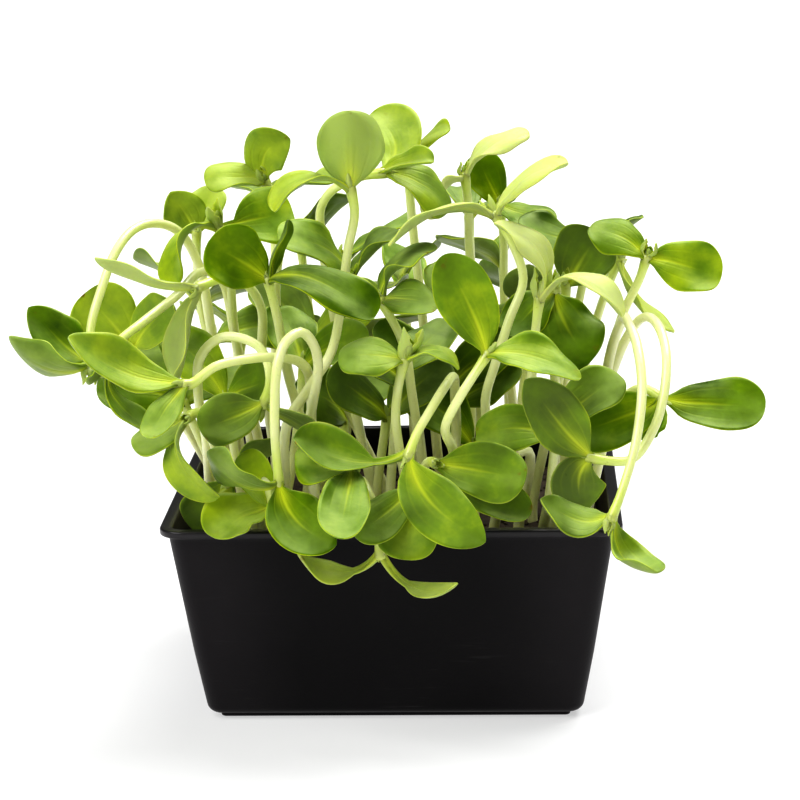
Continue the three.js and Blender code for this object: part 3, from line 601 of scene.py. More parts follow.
class StemCurve:
    """The smooth curve through a stem's points, with chords weighted by their length."""

    def __init__(self, plan):
        x, y = plan["root"]
        foot = [(x, y, SOIL_TOP - ROOT_DEPTH), (x, y, SOIL_TOP), (x, y, SOIL_TOP + STEM_STRAIGHT)]
        self.points = [Vector(point) for point in [*foot, *plan["stem"]]]

    def at(self, share):
        points = self.points
        last = len(points) - 1
        piece = min(last - 1, int(share * last))
        w = share * last - piece
        before = points[piece - 1] if piece > 0 else 2 * points[0] - points[1]
        after = points[piece + 2] if piece + 2 <= last else 2 * points[last] - points[last - 1]
        start, end = points[piece], points[piece + 1]
        d0, d1, d2 = (math.sqrt((b - a).length) for a, b in ((before, start), (start, end), (end, after)))
        leave = ((start - before) / d0 - (end - before) / (d0 + d1) + (end - start) / d1) * d1
        arrive = ((end - start) / d1 - (after - start) / (d1 + d2) + (after - end) / d2) * d1
        third = -3 * start + 3 * end - 2 * leave - arrive
        fourth = 2 * start - 2 * end + leave + arrive
        return start + leave * w + third * w ** 2 + fourth * w ** 3


def blade_half(one, share):
    """Half width of a blade at a share of its length, drawn in to a round tip."""
    stalk = one.get("stalk", STALK_LENGTH)
    s = min(1, max(0, (share - stalk) / (1 - stalk)))
    point = one.get("point", FULL_TIP)
    peak = FULL_BASE / (FULL_BASE + point)
    shape = (s / peak) ** FULL_BASE * ((1 - s) / (1 - peak)) ** point
    foot = STALK_HALF * (1 - smooth_step(*FOOT_FADE, s))
    return ((one["width"] / 2 * shape) ** 4 + foot ** 4) ** 0.25


class Blade:
    """The middle surface of a leaf, from its foot inside the stem to its tip."""

    def __init__(self, one, node, along):
        self.one = one
        self.start = Vector(node) - along * START_BACK
        self.tip = Vector(one["tip"])
        chord = self.tip - self.start
        self.aside = chord.cross(Vector(one["face"])).normalized()
        upward = self.aside.cross(chord).normalized()
        bow = (upward * one.get("arch", 0) + self.aside * one.get("sway", 0)) * chord.length * BOW
        self.second = self.start + chord * SECOND_REACH + along * SECOND_RISE * chord.length + bow
        self.third = self.start + chord * THIRD_REACH + bow
        self.rows = {}

    def midrib(self, t):
        u = 1 - t
        ends = self.start * u ** 3 + self.tip * t ** 3
        return ends + self.second * 3 * u * u * t + self.third * 3 * u * t * t

    def row(self, share):
        """The midrib's place, sideways and upward directions and half width at a share of the length."""
        if share not in self.rows:
            along = direction(self.midrib, share)
            aside = (self.aside - along * self.aside.dot(along)).normalized()
            self.rows[share] = self.midrib(share), aside, aside.cross(along), blade_half(self.one, share)
        return self.rows[share]

    def at(self, across, share, raised):
        place, aside, upward, half = self.row(share)
        lift = self.one.get("cup", CUP) * half * across ** 2 + raised
        return place + aside * across * half + upward * lift


# Point values that the materials read
MARKS = ("across", "along", "upper", "tone", "pale")


def new_mesh():
    """An empty mesh that carries the point values."""
    mesh = bmesh.new()
    for name in MARKS:
        mesh.verts.layers.float.new(name)
    return mesh


def mark(mesh, corner, **values):
    """Writes point values into a point."""
    for name, value in values.items():
        corner[mesh.verts.layers.float[name]] = value


def add_sheet(mesh, columns, rows):
    """A flat grid, x from -1 to 1 and y from 0 to 1."""
    made = bmesh.ops.create_grid(mesh, x_segments=columns, y_segments=rows, size=1)["verts"]
    for corner in made:
        corner.co.y = (corner.co.y + 1) / 2
    return made


def faces_of(corners):
    """The faces round some points."""
    return list({face for corner in corners for face in corner.link_faces})


def add_slab(mesh, columns, rows):
    """A closed flat slab: the grid at height 0 and again at height 1, with a strip round the edge."""
    below = add_sheet(mesh, columns, rows)
    raised = bmesh.ops.extrude_face_region(mesh, geom=faces_of(below))["geom"]
    above = [part for part in raised if isinstance(part, bmesh.types.BMVert)]
    for corner in above:
        corner.co.z = 1
    return below + above


def blade_thick(base, share, across):
    """Thickness of a blade: full along the middle, thin at its edge and tip, thick towards its stalk."""
    centre = base + (STALK_THICK - base) * max(0, 1 - share * STALK_FADE)
    edge = max(abs(across), smooth_step(*ROUND_END, share))
    return centre * (1 - EDGE_THIN * edge ** 4)


def add_blade(mesh, blade, look, grid, base=BLADE_THICK, teeth=0):
    """Bends a slab into a leaf with a grooved midrib, a gentle wave, rolled edges and, if asked, teeth."""
    corners = add_slab(mesh, *grid)
    seed = look["seed"]
    for corner in corners:
        across, run, side = corner.co
        share = 1 - (1 - run) ** ROW_BIAS
        half = blade.row(share)[3]
        spread = across * half
        wave = noise.noise(Vector((spread / WAVE_LENGTH, share * WAVES_ALONG, seed)))
        ripple = noise.noise(Vector((share * RIPPLES_ALONG, across, seed + RIPPLE_SEED)))
        curl = noise.noise(Vector((share * CURLS_ALONG, math.copysign(CURL_SIDES, across), seed + CURL_SEED)))
        rib = math.exp(-((spread / RIB_HALF) ** 2))
        rib = rib * smooth_step(*RIB_START, share) * (1 - smooth_step(*RIB_END, share))
        raised = (side - 0.5) * blade_thick(base, share, across) - rib * (GROOVE if side else RIDGE)
        raised += wave * WAVE_HEIGHT * smooth_step(*WAVE_FADE, share)
        raised += curl * EDGE_CURL * half * across ** 4 * smooth_step(*CURL_FADE, share)
        tooth = 1 + teeth * (abs((share * TEETH) % 1 - 0.5) - 0.25) * smooth_step(*TOOTH_FADE, share)
        corner.co = blade.at(across * (1 + RIPPLE * ripple) * tooth, share, raised)
        mark(mesh, corner, across=across, along=share, upper=side, tone=look["tone"], pale=look["pale"])
    for face in faces_of(corners):
        face.material_index = 1


def stem_rings(curve):
    """Shares of a curve at even steps of its length."""
    fine = [i / CURVE_FINE for i in range(CURVE_FINE + 1)]
    points = [curve.at(share) for share in fine]
    run = [0]
    for before, after in zip(points, points[1:]):
        run.append(run[-1] + (after - before).length)
    count = max(FEWEST_RINGS, round(run[-1] / STEM_RING))
    rings = []
    k = 0
    for i in range(count + 1):
        goal = run[-1] * i / count
        while k < CURVE_FINE - 1 and run[k + 1] < goal:
            k += 1
        part = (goal - run[k]) / max(1e-9, run[k + 1] - run[k])
        rings.append(fine[k] + (fine[k + 1] - fine[k]) * min(1, part))
    return rings, run[-1]


def add_stem(mesh, plan, look):
    """Rolls a sheet into the stem's tube, swollen a little under its leaves and closed at both ends."""
    curve = StemCurve(plan)
    shares, length = stem_rings(curve)
    across = Vector((1, 0, 0))
    rings = []
    for i, share in enumerate(shares):
        along = direction(curve.at, share)
        across = (across - along * across.dot(along)).normalized()
        run = i / (len(shares) - 1)
        radius = STEM_FOOT + (STEM_NECK - STEM_FOOT) * run - STEM_SLIM
        radius += NODE_SWELL * math.exp(-(((1 - run) * length / NODE_REACH) ** 2))
        radius *= 1 + STEM_UNEVEN * noise.noise(Vector((run * length / STEM_UNEVEN_LENGTH, look["seed"], 0)))
        rings.append((curve.at(share), across.copy(), along.cross(across), radius, run))
    place, first, second, radius, run = rings[-1]
    top = second.cross(first) * -1
    for step in range(1, DOME_RINGS + 1):
        lean = step / DOME_RINGS * math.pi / 2
        centre = place + top * radius * DOME_HEIGHT * math.sin(lean)
        rings.append((centre, first, second, radius * math.cos(lean), 1))
    place, first, second, _, _ = rings[0]
    rings.insert(0, (place, first, second, 0, 0))
    corners = add_sheet(mesh, STEM_SIDES, len(rings) - 1)
    for corner in corners:
        turn = (corner.co.x + 1) * math.pi
        place, first, second, radius, run = rings[round(corner.co.y * (len(rings) - 1))]
        corner.co = place + (first * math.cos(turn) + second * math.sin(turn)) * radius
        mark(mesh, corner, across=0, along=run, upper=1, tone=look["tone"], pale=look["pale"])
    return curve


def add_true_leaf(mesh, one, node, along, look):
    """A small folded, toothed and pointed blade."""
    add_blade(mesh, Blade({**TIP_SHAPE, **one}, node, along), look, TIP_GRID, base=TIP_THICK, teeth=TIP_TEETH)


def add_growing_tip(mesh, node, along, aside, size, look):
    """The first true leaves: an upright pair that opens a little, and a smaller pair inside it."""
    for pair, (reach, spread) in enumerate(TIP_PAIRS):
        for side in (-1, 1):
            out = (aside if pair else aside.cross(along)) * side
            tip = Vector(node) + along * size * reach + out * size * spread
            one = leaf(tip, size * TIP_WIDTH, along * spread - out * reach, arch=TIP_ARCH)
            fresh = {"tone": TIP_TONES[pair], "pale": TIP_PALE, "seed": look["seed"] + side + pair}
            add_true_leaf(mesh, one, node, along, fresh)


def placed(name, data):
    """A new object, put in the scene."""
    piece = bpy.data.objects.new(name, data)
    bpy.context.scene.collection.objects.link(piece)
    return piece


def finished(mesh, name, materials):
    """Closes and scales a mesh and puts it in the scene as a smooth object."""
    bmesh.ops.remove_doubles(mesh, verts=mesh.verts, dist=MERGE)
    bmesh.ops.recalc_face_normals(mesh, faces=mesh.faces)
    bmesh.ops.scale(mesh, vec=(MM, MM, MM), verts=mesh.verts)
    for face in mesh.faces:
        face.smooth = True
    data = bpy.data.meshes.new(name)
    mesh.to_mesh(data)
    mesh.free()
    for material in materials:
        data.materials.append(material)
    return placed(name, data)


def stands_for(piece, node, room):
    """The piece takes a frame node's place, and has to keep to its box."""
    low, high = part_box(node)
    past = max(max(low[k] - corner[k], corner[k] - high[k]) for corner in piece.bound_box for k in range(3))
    if past > room * MM:
        raise RuntimeError(f"{piece.name} reaches {past / MM:.1f} mm out of the place of {node}")
    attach(piece, "root")
    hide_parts(node)


def add_seedling(mesh, plan, draw):
    """Stem, seed leaves and growing tip, and the same for a twin."""
    look = {"seed": draw.uniform(0, 90), "pale": plan.get("pale", draw.uniform(0, 0.15))}
    # Seedlings without a tone of their own, the ones grown by rule, draw a random tone that is kept low. This
    # is painted shade that darkens the inside of the crop.
    look["tone"] = plan.get("tone", draw.uniform(0.05, 0.55))
    curve = add_stem(mesh, plan, look)
    along = direction(curve.at, 1)
    node = plan["stem"][-1]
    blades = [Blade(one, node, along) for one in plan["leaves"]]
    for blade in blades:
        tone = blade.one.get("tone", look["tone"] + draw.uniform(-TONE_SPREAD, TONE_SPREAD))
        leaf_look = {**look, "seed": draw.uniform(0, 90), "tone": tone}
        add_blade(mesh, blade, leaf_look, BLADE_GRID)
    size = plan.get("bud", draw.uniform(*TIP_SIZE))
    add_growing_tip(mesh, node, along, blades[0].aside, size, look)
    if "true_leaf" in plan:
        add_true_leaf(mesh, plan["true_leaf"], node, along, {**look, "tone": TRUE_LEAF_TONE})
    if "twin" in plan:
        add_seedling(mesh, plan["twin"], draw)


def make_seedling(plan, materials):
    """One seedling as one piece, with draws of its own."""
    mesh = new_mesh()
    add_seedling(mesh, plan, random.Random(plan["name"]))
    piece = finished(mesh, plan["name"].replace("seedling", "sprout"), materials)
    stands_for(piece, plan["name"], SEEDLING_ROOM)
    return piece


class Value:
    """A number or a colour on its way through a material, which can be added to and multiplied."""

    def __init__(self, paint, socket):
        self.paint = paint
        self.socket = socket

    def __add__(self, other):
        return self.paint.math("ADD", self, other)

    def __sub__(self, other):
        return self.paint.math("SUBTRACT", self, other)

    def __mul__(self, other):
        return self.paint.math("MULTIPLY", self, other)

    def __truediv__(self, other):
        return self.paint.math("DIVIDE", self, other)

    def __abs__(self):
        return self.paint.math("ABSOLUTE", self)


class Paint:
    """Short words for adding nodes to a tree."""

    def __init__(self, tree):
        self.tree = tree

    def add(self, kind, inputs=None, **options):
        """Adds a node and gives back what comes out of it."""
        made = self.tree.nodes.new(kind)
        for name, value in options.items():
            setattr(made, name, value)
        for name, value in (inputs or {}).items():
            if isinstance(value, Value):
                value = value.socket
            if isinstance(value, bpy.types.NodeSocket):
                self.tree.links.new(value, made.inputs[name])
            else:
                made.inputs[name].default_value = value
        return made.outputs

    def point(self, name):
        """A value that the points of the mesh carry."""
        return Value(self, self.add("ShaderNodeAttribute", attribute_name=name)["Fac"])

    def math(self, operation, *values):
        return Value(self, self.add("ShaderNodeMath", dict(enumerate(values)), operation=operation)[0])

    def step(self, value, low, high, bottom=0, top=1):
        """Goes smoothly from bottom to top as the value goes from low to high."""
        numbers = dict(enumerate((value, low, high, bottom, top)))
        return Value(self, self.add("ShaderNodeMapRange", numbers, interpolation_type="SMOOTHSTEP")["Result"])

    def fall(self, value, low, high):
        """Goes smoothly from 1 to 0 as the value goes from low to high."""
        return self.step(value, low, high, 1, 0)

    def layers(self, base, *layers):
        """Lays colours over a first one, each with its share."""
        for share, layer in layers:
            first, second = (colour if isinstance(colour, Value) else (*colour, 1) for colour in (base, layer))
            inputs = {0: share, 6: first, 7: second}
            base = Value(self, self.add("ShaderNodeMix", inputs, data_type="RGBA", clamp_factor=True)[2])
        return base

    def mottle(self, kind):
        """Soft patches of a kind, values that wander about a half."""
        size, contrast = MOTTLE[kind]
        made = self.add("ShaderNodeGroup", {"Size": size, "Contrast": contrast}, node_tree=mottle_group())
        return Value(self, made["Patches"])

    def bump(self, height, distance, strength):
        inputs = {"Height": height, "Distance": distance, "Strength": strength}
        return self.add("ShaderNodeBump", inputs)["Normal"]


def mottle_group():
    """Soft patches: a value that wanders between 0 and 1 over the surface."""
    group = bpy.data.node_groups.get("Mottle")
    if group:
        return group
    group = bpy.data.node_groups.new("Mottle", "ShaderNodeTree")
    for name, value in {"Size": 0.006, "Contrast": 1}.items():
        group.interface.new_socket(name, in_out="INPUT", socket_type="NodeSocketFloat").default_value = value
    group.interface.new_socket("Patches", in_out="OUTPUT", socket_type="NodeSocketFloat")
    paint = Paint(group)
    inside = paint.add("NodeGroupInput")
    scale = paint.math("DIVIDE", 1, inside["Size"])
    places = paint.add("ShaderNodeTexCoord")["Object"]
    patches = paint.add("ShaderNodeTexNoise", {"Vector": places, "Scale": scale, "Detail": 3})["Fac"]
    paint.add("NodeGroupOutput", {"Patches": (Value(paint, patches) - 0.5) * inside["Contrast"] + 0.5})
    return group


def new_material(name):
    """An empty material and its paint."""
    material = bpy.data.materials.new(name)
    material.use_nodes = True
    material.node_tree.nodes.clear()
    return material, Paint(material.node_tree)


def cover(paint, **settings):
    """Ends a material with its one shader."""
    settings = {name.replace("_", " "): value for name, value in settings.items()}
    shader = paint.add("ShaderNodeBsdfPrincipled", settings)
    paint.add("ShaderNodeOutputMaterial", {"Surface": shader["BSDF"]})


def leaf_material(finish):
    """Seed leaf: green with a yellow-green foot, a soft pale midrib, faint nerves and a greyer underside, with
    a painted sheen where it faces up and a painted glow along its edge.
    """
    material, paint = new_material("Seed leaf")
    along, aside, tone = paint.point("along"), abs(paint.point("across")), paint.point("tone")
    patches, speckle = paint.mottle("leaf"), paint.mottle("leaf speckle")
    wander = patches - 0.5

    across_rib = aside / paint.step(along, 0, 0.8, 0.5, 0.12)
    rib = paint.fall(across_rib, 0, 0.35) * paint.fall(along, 0.15, 0.8)
    halo = paint.fall(across_rib, 0, 1.6) * paint.fall(along, 0.1, 0.75)
    nerve = abs(paint.math("FRACT", aside * 2.6 + wander * 0.3) - 0.5)
    nerve = paint.fall(nerve, 0, 0.2) * paint.fall(along, 0.2, 0.85)
    foot = paint.fall(along + aside * 0.3, 0.04, 0.42)
    # Painted glow: a thin bright yellow-green line along the leaf edge stands in for light shining through the
    # thin edge.
    rim = paint.step(aside, 0.95, 1)

    tone = tone + wander * 0.75 + (speckle - 0.5) * 0.15
    upper = paint.layers(
        finish.leaf_dark, (tone * 2, finish.leaf_light), (tone * 2 - 1, finish.leaf_bright),
        (halo * 0.4, finish.leaf_bright), (nerve * 0.14, finish.leaf_bright), (foot * 0.95, finish.leaf_foot),
        (rib * 0.7, finish.leaf_foot), (rim * patches, finish.leaf_foot),
    )
    under = paint.layers(
        finish.under_dark, (tone, finish.under_light), (halo * 0.5, finish.leaf_foot),
        (paint.math("MAXIMUM", rib, nerve) * 0.2, finish.under_light), (foot * 0.9, finish.leaf_foot),
    )
    # Painted sheen: the leaf is lightened to a silvery green in patches where its surface faces up. It stands
    # in for the reflection of the light above.
    facing = paint.add("ShaderNodeSeparateXYZ", {"Vector": paint.add("ShaderNodeNewGeometry")["Normal"]})
    painted_sheen = paint.step(facing["Z"], 0.35, 1, 0, 0.7) * patches
    marks = paint.step(paint.mottle("leaf marks"), 0.62, 0.74, 0, 0.8) * paint.step(along, 0.82, 1)
    cover(
        paint,
        Base_Color=paint.layers(
            under, (paint.step(paint.point("upper"), 0.4, 0.6), upper), (painted_sheen, finish.leaf_painted_sheen),
            (paint.point("pale"), finish.leaf_yellow), (marks, finish.leaf_brown),
        ),
        Roughness=patches * 0.3 + 0.26,
        Normal=paint.bump((nerve * 0.5 + rib) * -1 + speckle * 0.3, 0.0003, 0.6),
        Specular_IOR_Level=0.35,
        Specular_Tint=(0.85, 1, 0.2, 1),
        Subsurface_Weight=finish.leaf_glow,
        Subsurface_Radius=(0.8, 1, 0.1),
        Subsurface_Scale=0.0012,
    )
    return material


def stem_material(finish):
    """Stem: nearly white, greener towards its leaves, with fine streaks."""
    material, paint = new_material("Stem")
    along, patches, speckle = paint.point("along"), paint.mottle("stem"), paint.mottle("stem speckle")
    green = paint.step(along, 0.3, 0.9, 0, 0.35) + paint.step(along, 0.88, 1, 0, 0.5) + patches * 0.35
    cover(
        paint,
        Base_Color=paint.layers(finish.stem_pale, (green - 0.2, finish.stem_green)),
        Roughness=speckle * 0.16 + 0.22,
        Normal=paint.bump(speckle, 0.0001, 0.4),
        Specular_IOR_Level=0.9,
        Subsurface_Weight=finish.stem_glow,
        Subsurface_Radius=(1, 1, 0.6),
        Subsurface_Scale=0.002,
    )
    return material


def plastic_material(finish):
    """Black moulded plastic: satin, faintly grained, with a few dull scuffs low on its walls and a painted
    sheen that lightens it towards its corners.
    """
    material, paint = new_material("Black plastic")
    cloud = paint.mottle("plastic")
    places = paint.add("ShaderNodeTexCoord")["Object"]
    streaks = {"Vector": places, "Scale": SCRATCH_SCALE, "Rotation": SCRATCH_TURN}
    streaks = paint.add("ShaderNodeMapping", streaks)["Vector"]
    scratch = paint.add("ShaderNodeTexNoise", {"Vector": streaks, "Scale": 1, "Detail": 2})["Fac"]
    height = paint.add("ShaderNodeSeparateXYZ", {"Vector": places})["Z"]
    low = paint.step(height, 0.004, 0.035, 1, 0.1)
    scuff = paint.step(scratch, 0.59, 0.7) * paint.step(cloud, 0.5, 0.9) * low
    # Painted sheen: the plastic is lightened towards its corners and in uneven patches. It stands in for the
    # reflection of the bright studio.
    flat = paint.add("ShaderNodeVectorMath", {0: places}, operation="ABSOLUTE")[0]
    flat = paint.add("ShaderNodeSeparateXYZ", {"Vector": flat})
    corner = paint.step(paint.math("MINIMUM", flat["X"], flat["Y"]), 0.02, 0.06)
    sheen_painted = corner + (cloud - 0.4) * 0.5
    cover(
        paint,
        Base_Color=paint.layers(finish.plastic, (sheen_painted, finish.plastic_sheen), (scuff * 0.6, finish.scuff)),
        Roughness=(cloud - 0.5) * 0.14 + finish.roughness + scuff * 0.2,
        Normal=paint.bump(paint.mottle("plastic grain"), 0.00008, 0.5),
        Coat_Weight=paint.step(height, 0.055, 0.058, 0, 0.6),
        Coat_Roughness=0.15,
        Specular_IOR_Level=0.2,
    )
    return material


def soil_material(finish):
    """Damp dark growing medium, browner in patches."""
    material, paint = new_material("Growing medium")
    coarse, fine = paint.mottle("soil"), paint.mottle("soil speckle")
    cover(
        paint,
        Base_Color=paint.layers(finish.dark, (coarse, finish.light), (fine * 0.4, finish.light)),
        Roughness=fine * 0.2 + 0.75,
        Normal=paint.bump(fine, 0.0005, 0.8),
    )
    return material


def wall_half(z):
    """Half width of the tray's outside at a height."""
    share = (z - FOOT_HEIGHT) / (TRAY_HEIGHT - RIM_DROP - FOOT_HEIGHT)
    return WALL_BOTTOM_HALF + (WALL_TOP_HALF - WALL_BOTTOM_HALF) * share


def arc(across, z, radius, start, end, steps):
    """Points of a round stretch of an outline about a middle, angles in degrees."""
    turns = [math.radians(start + (end - start) * i / steps) for i in range(steps + 1)]
    return [(across + radius * math.cos(turn), z + radius * math.sin(turn)) for turn in turns]


def tray_outline():
    """Half width and height round the tray's wall, from the middle of its base to the middle of its floor."""
    foot = WALL_BOTTOM_HALF - FOOT_INSET
    lip = TRAY_HEIGHT - RIM_DROP
    lean = math.degrees(math.atan((WALL_TOP_HALF - WALL_BOTTOM_HALF) / (lip - FOOT_HEIGHT)))
    inner_top = WALL_TOP_HALF - WALL
    edge = RIM_ROUND
    inside = wall_half(FLOOR) - WALL
    return [
        (0, 0),
        (foot - 1, 0),
        *arc(foot - edge, edge, edge, -90, 0, 3),
        (foot, FOOT_HEIGHT),
        (foot + 0.4, FOOT_HEIGHT),
        *arc(WALL_BOTTOM_HALF - BOTTOM_ROUND, FOOT_HEIGHT + BOTTOM_ROUND, BOTTOM_ROUND, -80, -lean, 6),
        (wall_half(20), 20),
        (wall_half(lip - 1), lip - 1),
        *arc(wall_half(lip) + edge, lip - edge, edge, 180, 90, 3),
        *arc(RIM_HALF - edge, lip + edge, edge, -90, 0, 3),
        *arc(RIM_HALF - edge, TRAY_HEIGHT - edge, edge, 0, 90, 3),
        *arc(inner_top + edge, TRAY_HEIGHT - edge, edge, 90, 180, 3),
        (inner_top, lip),
        (inside + 0.6, FLOOR + 4),
        *arc(inside - FLOOR_ROUND, FLOOR + FLOOR_ROUND, FLOOR_ROUND, 0, -90, 3),
        (0, FLOOR),
    ]


def make_tray(finish):
    """Spins the wall's outline once round and squares it, with round corners."""
    mesh = new_mesh()
    outline = [mesh.verts.new((half, 0, z)) for half, z in tray_outline()]
    edges = [mesh.edges.new(pair) for pair in zip(outline, outline[1:])]
    per_side = finish.corner_steps + 1
    steps = 4 * per_side
    axis = {"axis": (0, 0, 1), "cent": (0, 0, 0)}
    bmesh.ops.spin(mesh, geom=outline + edges, angle=math.tau, steps=steps, use_merge=True, **axis)
    for corner in mesh.verts:
        half = math.hypot(corner.co.x, corner.co.y)
        step = round(math.atan2(corner.co.y, corner.co.x) / math.tau * steps) % steps
        quarter = step // per_side * math.pi / 2
        turn = quarter + step % per_side / finish.corner_steps * math.pi / 2
        reach = max(0, min(wall_half(corner.co.z) - CORNER, half - CORNER / 4))
        centre = Matrix.Rotation(quarter, 2) @ Vector((reach, reach))
        out = Vector((math.cos(turn), math.sin(turn))) * (half - reach)
        corner.co = (*(centre + out), corner.co.z)
    piece = finished(mesh, "seed_tray", [plastic_material(finish)])
    stands_for(piece, "tray", TRAY_ROOM)
    return piece


def ground(x, y):
    """Height of the growing medium's top."""
    wave = math.sin(x * SOIL_WAVE) * math.cos(y * SOIL_WAVE + SOIL_PHASE)
    lumps, grit = (noise.noise(Vector((x / size, y / size, level))) for size, level in SOIL_LUMPS)
    return SOIL_TOP + SOIL_RELIEF * wave + SOIL_ROUGH * (lumps + 0.5 * grit)


def make_soil(finish):
    """A slab of growing medium with a rough top and loose crumbs on it."""
    mesh = new_mesh()
    for corner in add_slab(mesh, finish.squares, finish.squares):
        across, back, side = corner.co.x, corner.co.y * 2 - 1, corner.co.z
        z = SOIL_TOP if side else FLOOR + SOIL_GAP
        half = wall_half(z) - WALL - SOIL_GAP
        x, y = across * half, back * half
        over = Vector((max(0, abs(x) - half + CORNER), max(0, abs(y) - half + CORNER)))
        if over.length > CORNER:
            over *= 1 - CORNER / over.length
            x -= math.copysign(over.x, x)
            y -= math.copysign(over.y, y)
        corner.co = (x, y, ground(x, y) if side else z)
    draw = random.Random(finish.seed)
    reach = wall_half(SOIL_TOP) - WALL - SOIL_GAP - CRUMB_INSET
    for _ in range(finish.crumbs):
        x, y = draw.uniform(-reach, reach), draw.uniform(-reach, reach)
        size = draw.uniform(*CRUMB_SIZES) ** 2 * finish.crumb_size
        crumb = bmesh.ops.create_icosphere(mesh, subdivisions=1, radius=size)["verts"]
        squash = Matrix.Diagonal((1, draw.uniform(*CRUMB_WIDTHS), draw.uniform(*CRUMB_HEIGHTS), 1))
        turn = Matrix.Rotation(draw.uniform(0, math.tau), 4, "Z")
        turn @= Matrix.Rotation(draw.uniform(-CRUMB_TIP, CRUMB_TIP), 4, "X")
        bmesh.ops.transform(mesh, matrix=turn @ squash, verts=crumb)
        bmesh.ops.translate(mesh, vec=(x, y, ground(x, y) + size * CRUMB_LIFT), verts=crumb)
    piece = finished(mesh, "growing_medium", [soil_material(finish)])
    stands_for(piece, "soil", SOIL_ROOM)
    return piece


def make_floor(studio):
    """A plain floor that glows a little and reaches out of the picture."""
    mesh = bmesh.new()
    bmesh.ops.create_grid(mesh, x_segments=1, y_segments=1, size=studio.floor_size)
    data = bpy.data.meshes.new("floor")
    mesh.to_mesh(data)
    mesh.free()
    material, paint = new_material("Pale floor")
    cover(
        paint,
        Base_Color=(*studio.floor_colour, 1),
        Roughness=0.9,
        Specular_IOR_Level=0.1,
        Emission_Color=WHITE,
        Emission_Strength=studio.floor_light,
    )
    data.materials.append(material)
    floor = placed("floor", data)


def make_light(name, place, strength, softness):
    """A soft light from far off, which reaches all of the floor alike."""
    lamp = bpy.data.lights.new(name, "SUN")
    lamp.energy = strength
    lamp.angle = softness
    turn = (Vector(LIGHTS_AIM) - Vector(place)).to_track_quat("-Z", "Y").to_matrix().to_4x4()
    placed(name, lamp).matrix_world = Matrix.Translation(place) @ turn


def make_world(studio):
    """Even light from all round."""
    world = bpy.data.worlds.new("Studio")
    world.use_nodes = True
    back = world.node_tree.nodes["Background"]
    back.inputs["Color"].default_value = WHITE
    back.inputs["Strength"].default_value = studio.surround
    bpy.context.scene.world = world


def make_camera(studio):
    """The camera, where it stood for the photo."""
    data = bpy.data.cameras.new("camera")
    data.sensor_fit = "HORIZONTAL"
    data.sensor_width = SENSOR
    data.lens = studio.lens
    camera = placed("camera", data)
    turn = Matrix.Rotation(studio.camera_heading, 4, "Z")
    turn @= Matrix.Rotation(math.pi / 2 - studio.camera_dip, 4, "X")
    turn @= Matrix.Rotation(studio.camera_roll, 4, "Z")
    camera.matrix_world = Matrix.Translation(studio.camera_place) @ turn
    bpy.context.scene.camera = camera


def colour_setting(name, description, default):
    """A setting that is a colour."""
    words = {"name": name, "description": description}
    return bpy.props.FloatVectorProperty(**words, default=default, subtype="COLOR", min=0, max=1)


def number_setting(name, description, default, **limits):
    """A setting that is any number."""
    return bpy.props.FloatProperty(name=name, description=description, default=default, **limits)


def share_setting(name, description, default):
    """A setting from 0 to 1."""
    return number_setting(name, description, default, min=0, max=1, subtype="FACTOR")


def angle_setting(name, description, degrees):
    """A setting that is an angle."""
    return number_setting(name, description, math.radians(degrees), unit="ROTATION")


def whole_setting(name, description, default, **limits):
    """A setting that is a whole number."""
    return bpy.props.IntProperty(name=name, description=description, default=default, **limits)


class SproutFinish(bpy.types.PropertyGroup):
    leaf_dark: colour_setting("Leaf, dark", "Upper side of the darkest seed leaves", (0.04, 0.1, 0.0003))
    leaf_light: colour_setting("Leaf, light", "Upper side of most seed leaves", (0.155, 0.28, 0.001))
    leaf_bright: colour_setting("Leaf, bright", "Upper side of the brightest seed leaves", (0.47, 0.59, 0.01))
    # The foot and midrib have this colour of their own. On the edge it is a painted glow of light shining
    # through.
    leaf_foot: colour_setting("Leaf foot", "Foot, midrib and edge of a leaf", (0.66, 0.75, 0.04))
    leaf_brown: colour_setting("Leaf, brown", "Small dry marks near the tips", (0.22, 0.11, 0.02))
    # Colour of the painted sheen on leaf surfaces that face up, which stands in for reflected light.
    leaf_painted_sheen: colour_setting("Leaf bloom", "Waxy bloom on what faces up", (0.4, 0.5, 0.22))
    leaf_yellow: colour_setting("Leaf, yellowed", "A leaf that has turned pale", (0.8, 0.84, 0.4))
    under_dark: colour_setting("Underside, dark", "Lower side of the darkest leaves", (0.09, 0.16, 0.025))
    under_light: colour_setting("Underside, light", "Lower side of the lightest leaves", (0.38, 0.5, 0.12))
    stem_pale: colour_setting("Stem, pale", "Stem near the soil", (0.95, 0.98, 0.58))
    stem_green: colour_setting("Stem, green", "Stem under its leaves", (0.62, 0.76, 0.08))
    leaf_glow: share_setting("Leaf glow", "How much light passes through leaves", 0.3)
    stem_glow: share_setting("Stem glow", "How much light passes through stems", 0.5)


class TrayFinish(bpy.types.PropertyGroup):
    plastic: colour_setting("Plastic", "Black of the tray", (0.006, 0.0052, 0.006))
    # Colour of the painted sheen towards the tray's corners, which stands in for reflected light.
    plastic_sheen: colour_setting("Plastic, handled", "Where the tray has been handled", (0.02, 0.0175, 0.0195))
    scuff: colour_setting("Scuff", "Dull scuffs on the wall", (0.05, 0.048, 0.05))
    roughness: share_setting("Roughness", "How dull the plastic is", 0.42)
    corner_steps: whole_setting("Corner steps", "Faces round each corner of the tray", 12, min=2, max=32)


class SoilFinish(bpy.types.PropertyGroup):
    dark: colour_setting("Soil, dark", "Damp growing medium", (0.012, 0.008, 0.005))
    light: colour_setting("Soil, light", "Drier crumbs", (0.07, 0.045, 0.028))
    squares: whole_setting("Squares", "Faces along each side", 70, min=8, max=150)
    crumbs: whole_setting("Crumbs", "Loose crumbs on top", 700, min=0, max=2000)
    crumb_size: number_setting("Crumb size", "Radius of the largest crumb, in millimetres", 1.5, min=0.2, max=3)
    seed: whole_setting("Seed", "Another seed strews the crumbs anew", 5)


